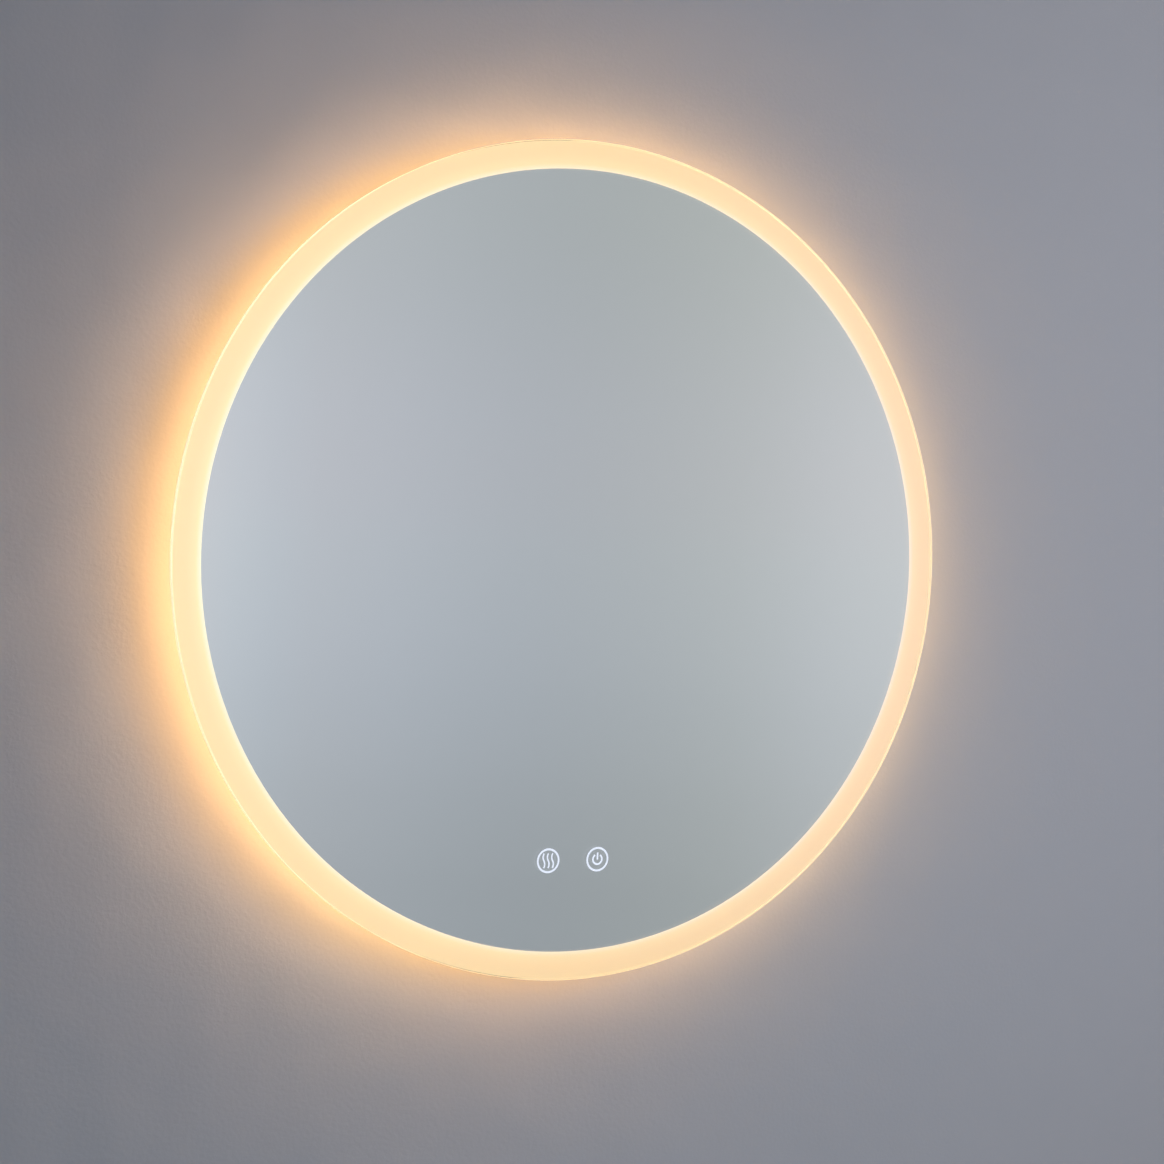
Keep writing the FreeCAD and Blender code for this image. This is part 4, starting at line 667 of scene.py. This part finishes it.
def milky_plastic(name, colour, roughness):
    """Unfilled nylon or silicone: light goes about 1.5 mm deep, and the skin is slightly uneven."""
    material, tree, shader, place = started(
        name, colour, roughness, Subsurface_Weight=0.35, Subsurface_Scale=1.5 * MM)
    skin = add(tree, "TexNoise", {"Vector": place, "Scale": per_mm(3.0), "Detail": 2.0})
    raised(tree, shader, skin.outputs["Fac"], 0.05)
    return material


def cut_foam(name, dark, light):
    """Closed-cell foam, cut: cells of 0.7 mm, each a small dimple with painted shade at its bottom."""
    material, tree, shader, place = started(name, light, 0.85)
    cells = add(tree, "TexVoronoi", {"Vector": place, "Scale": per_mm(0.7)})
    # The colour is darkest at each cell's centre, where the bump is lowest: painted shade in the hollows.
    mottled(tree, shader, cells.outputs["Distance"], dark, light, 0.8, 0.92)
    raised(tree, shader, cells.outputs["Distance"], 0.15)
    return material


# %% [markdown]
# ## Boards, films and leads
#
# A circuit board is green lacquer over copper, whose tracks show as slightly lighter lines. The demister
# is a clear-white polyester film with an etched aluminium track. The leads have extruded sheaths. An
# earth lead is green with a yellow stripe along it, which here comes from the depth of a point.

# %% Boards, films and leads
BAND_WIDTH = 1.3 * MM
STRIPE_START = 0.62 * MM


def lacquered_board(name, dark, light):
    """Solder mask over copper: tracks about 0.7 mm wide in straight runs that meet at right angles."""
    material, tree, shader, place = started(name, dark, 0.3)
    tracks = add(tree, "TexBrick", {"Vector": place, "Scale": per_mm(6.0), "Mortar Size": 0.06,
                                    "Color1": linear(dark), "Color2": linear(dark),
                                    "Mortar": linear(light)})
    tree.links.new(tracks.outputs["Color"], shader.inputs["Base Color"])
    raised(tree, shader, tracks.outputs["Fac"], 0.05)
    return material


def heater_film():
    """Laminated polyester film: satin, a little wavy where it was rolled on."""
    material, tree, shader, place = started("heater_film", "#DDDCD2", 0.32, Coat_Weight=0.2)
    waves = add(tree, "TexNoise", {"Vector": place, "Scale": per_mm(22.0), "Detail": 3.0})
    mottled(tree, shader, waves.outputs["Fac"], "#D0CFC4", "#E6E5DC", 0.26, 0.42)
    raised(tree, shader, waves.outputs["Fac"], 0.25)
    return material


def striped_sheath(base, stripe):
    """Two colours of one extrusion: bands about 1.3 mm wide in depth, so that both show along the lead."""
    material, tree, shader, place = started("striped_sheath", base, 0.4)
    depth = add(tree, "SeparateXYZ", {"Vector": place}).outputs["Y"]
    bands = add(tree, "Math", {0: depth, 1: BAND_WIDTH}, operation="PINGPONG")
    second = add(tree, "Math", {0: bands.outputs["Value"], 1: STRIPE_START}, operation="GREATER_THAN")
    mixed = add(tree, "Mix", {"Factor": second.outputs["Value"], "A": linear(base), "B": linear(stripe)},
                data_type="RGBA")
    tree.links.new(mixed.outputs["Result"], shader.inputs["Base Color"])
    return material


def glowing(name, colour, glow, strength):
    """A small lit plastic, such as an opal film behind a symbol: even, with its own light."""
    return started(name, colour, 0.45, Emission_Color=linear(glow), Emission_Strength=strength)[0]


# %% [markdown]
# ## Each node gets its finish
#
# The record gives each node a material slot. The table pairs every slot with its finish. The nodes keep
# their own meshes. A small modifier merges their loose triangles and shades them smoothly up to an edge
# of 35 degrees, so that a rolled or turned face doesn't show its facets.

# %% The finish of every slot
ICON_GLOW = 0.72
FINISHES = {
    "silver_coating": silver_and_paint(),
    "frame_aluminium": mill_aluminium(),
    "rail_steel": zinc_plated_sheet(),
    "rivet_aluminium": small_metal("headed_aluminium", "#CDCFD1", "#E8E9EA"),
    "screw_steel": small_metal("zinc_plated_screw", "#A9ADAE", "#CDCFCF"),
    "terminal_brass": small_metal("turned_brass", "#B08D43", "#D9BC74"),
    "tinned_copper": small_metal("tinned_copper", "#ADABA7", "#CFCDC8"),
    "capacitor_can": small_metal("drawn_can", "#A0A3A6", "#C2C5C8"),
    "heating_foil": small_metal("etched_foil", "#CFD1D4", "#E8EAEC"),
    "foam_tape": cut_foam("acrylic_foam_tape", "#B9B9B5", "#E2E2DE"),
    "conductive_foam": cut_foam("conductive_foam", "#1C1C1E", "#3A3A3D"),
    "silicone": milky_plastic("silicone_sealant", "#DCDEDE", 0.25),
    "clip_nylon": milky_plastic("natural_nylon", "#ECEBE6", 0.35),
    "strip_board": moulded("white_solder_mask", "#E6E6E2", "#F0F0EC", 0.3, 0.4, 1.0, 0.02),
    "led_phosphor": moulded("led_phosphor", "#DDBB52", "#EFD36E", 0.3, 0.4, 0.5, 0.02),
    "resistor_black": moulded("resistor_body", "#141414", "#202020", 0.5, 0.6, 0.5, 0.02),
    "black_rubber": moulded("black_rubber", "#1A1A1B", "#2B2B2C", 0.62, 0.8, 1.2, 0.05),
    "case_plastic": moulded("abs_white", "#DDDDD8", "#E9E9E5", 0.42, 0.55, 0.9, 0.04),
    "ferrite_core": moulded("ferrite", "#1E1E20", "#303033", 0.6, 0.75, 0.6, 0.03),
    "terminal_plastic": moulded("terminal_polyamide", "#3C6E4B", "#4A8059", 0.4, 0.5, 0.9, 0.03),
    "gland_nylon": moulded("gland_polyamide", "#BFC0BE", "#D0D1CF", 0.38, 0.5, 0.8, 0.03),
    "touch_plastic": moulded("abs_black", "#191A1C", "#26272A", 0.42, 0.55, 0.9, 0.04),
    "white_sheath": moulded("white_pvc", "#E0E0DD", "#EDEDEA", 0.36, 0.48, 1.6, 0.03),
    "grey_sheath": moulded("grey_pvc", "#84878A", "#939699", 0.36, 0.48, 1.6, 0.03),
    "earth_sheath": striped_sheath("#2E7D3A", "#E3C91C"),
    "circuit_board": lacquered_board("green_solder_mask", "#0F4A26", "#1F7A42"),
    "polyester_film": heater_film(),
    "icon_film": glowing("symbol_film", "#A9A9B4", "#ECEEFF", ICON_GLOW),
    "white_led": glowing("white_lamp", "#F2EDC0", "#EDEEFF", ICON_GLOW),
}


def smooth_by_angle(limit):
    """A modifier's node group: merge the triangles, shade all smooth, keep edges over the limit sharp."""
    group = bpy.data.node_groups.new("smooth_by_angle", "GeometryNodeTree")
    for way in ("INPUT", "OUTPUT"):
        group.interface.new_socket("Geometry", in_out=way, socket_type="NodeSocketGeometry")
    node = group.nodes.new
    start, end = node("NodeGroupInput"), node("NodeGroupOutput")
    merge, fold = node("GeometryNodeMergeByDistance"), node("GeometryNodeInputMeshEdgeAngle")
    faces, edges = node("GeometryNodeSetShadeSmooth"), node("GeometryNodeSetShadeSmooth")
    flat_enough = node("FunctionNodeCompare")
    merge.inputs["Distance"].default_value = MERGE_DISTANCE
    flat_enough.operation = "LESS_EQUAL"
    flat_enough.inputs["B"].default_value = limit
    faces.domain = "FACE"
    edges.domain = "EDGE"
    join = group.links.new
    join(start.outputs["Geometry"], merge.inputs["Geometry"])
    join(merge.outputs["Geometry"], faces.inputs["Geometry"])
    join(faces.outputs["Geometry"], edges.inputs["Geometry"])
    join(fold.outputs["Unsigned Angle"], flat_enough.inputs["A"])
    join(flat_enough.outputs["Result"], edges.inputs["Shade Smooth"])
    join(edges.outputs["Geometry"], end.inputs["Geometry"])
    return group


SMOOTHING = smooth_by_angle(SHARP_ANGLE)
for entry in frame["record"]["subparts"]:
    node = frame["nodes"][entry["node"]]
    if node.hide_render:
        continue
    node.data.materials.clear()
    node.data.materials.append(FINISHES[entry["material_slot"]])
    node.modifiers.new("smooth_by_angle", "NODES").node_group = SMOOTHING
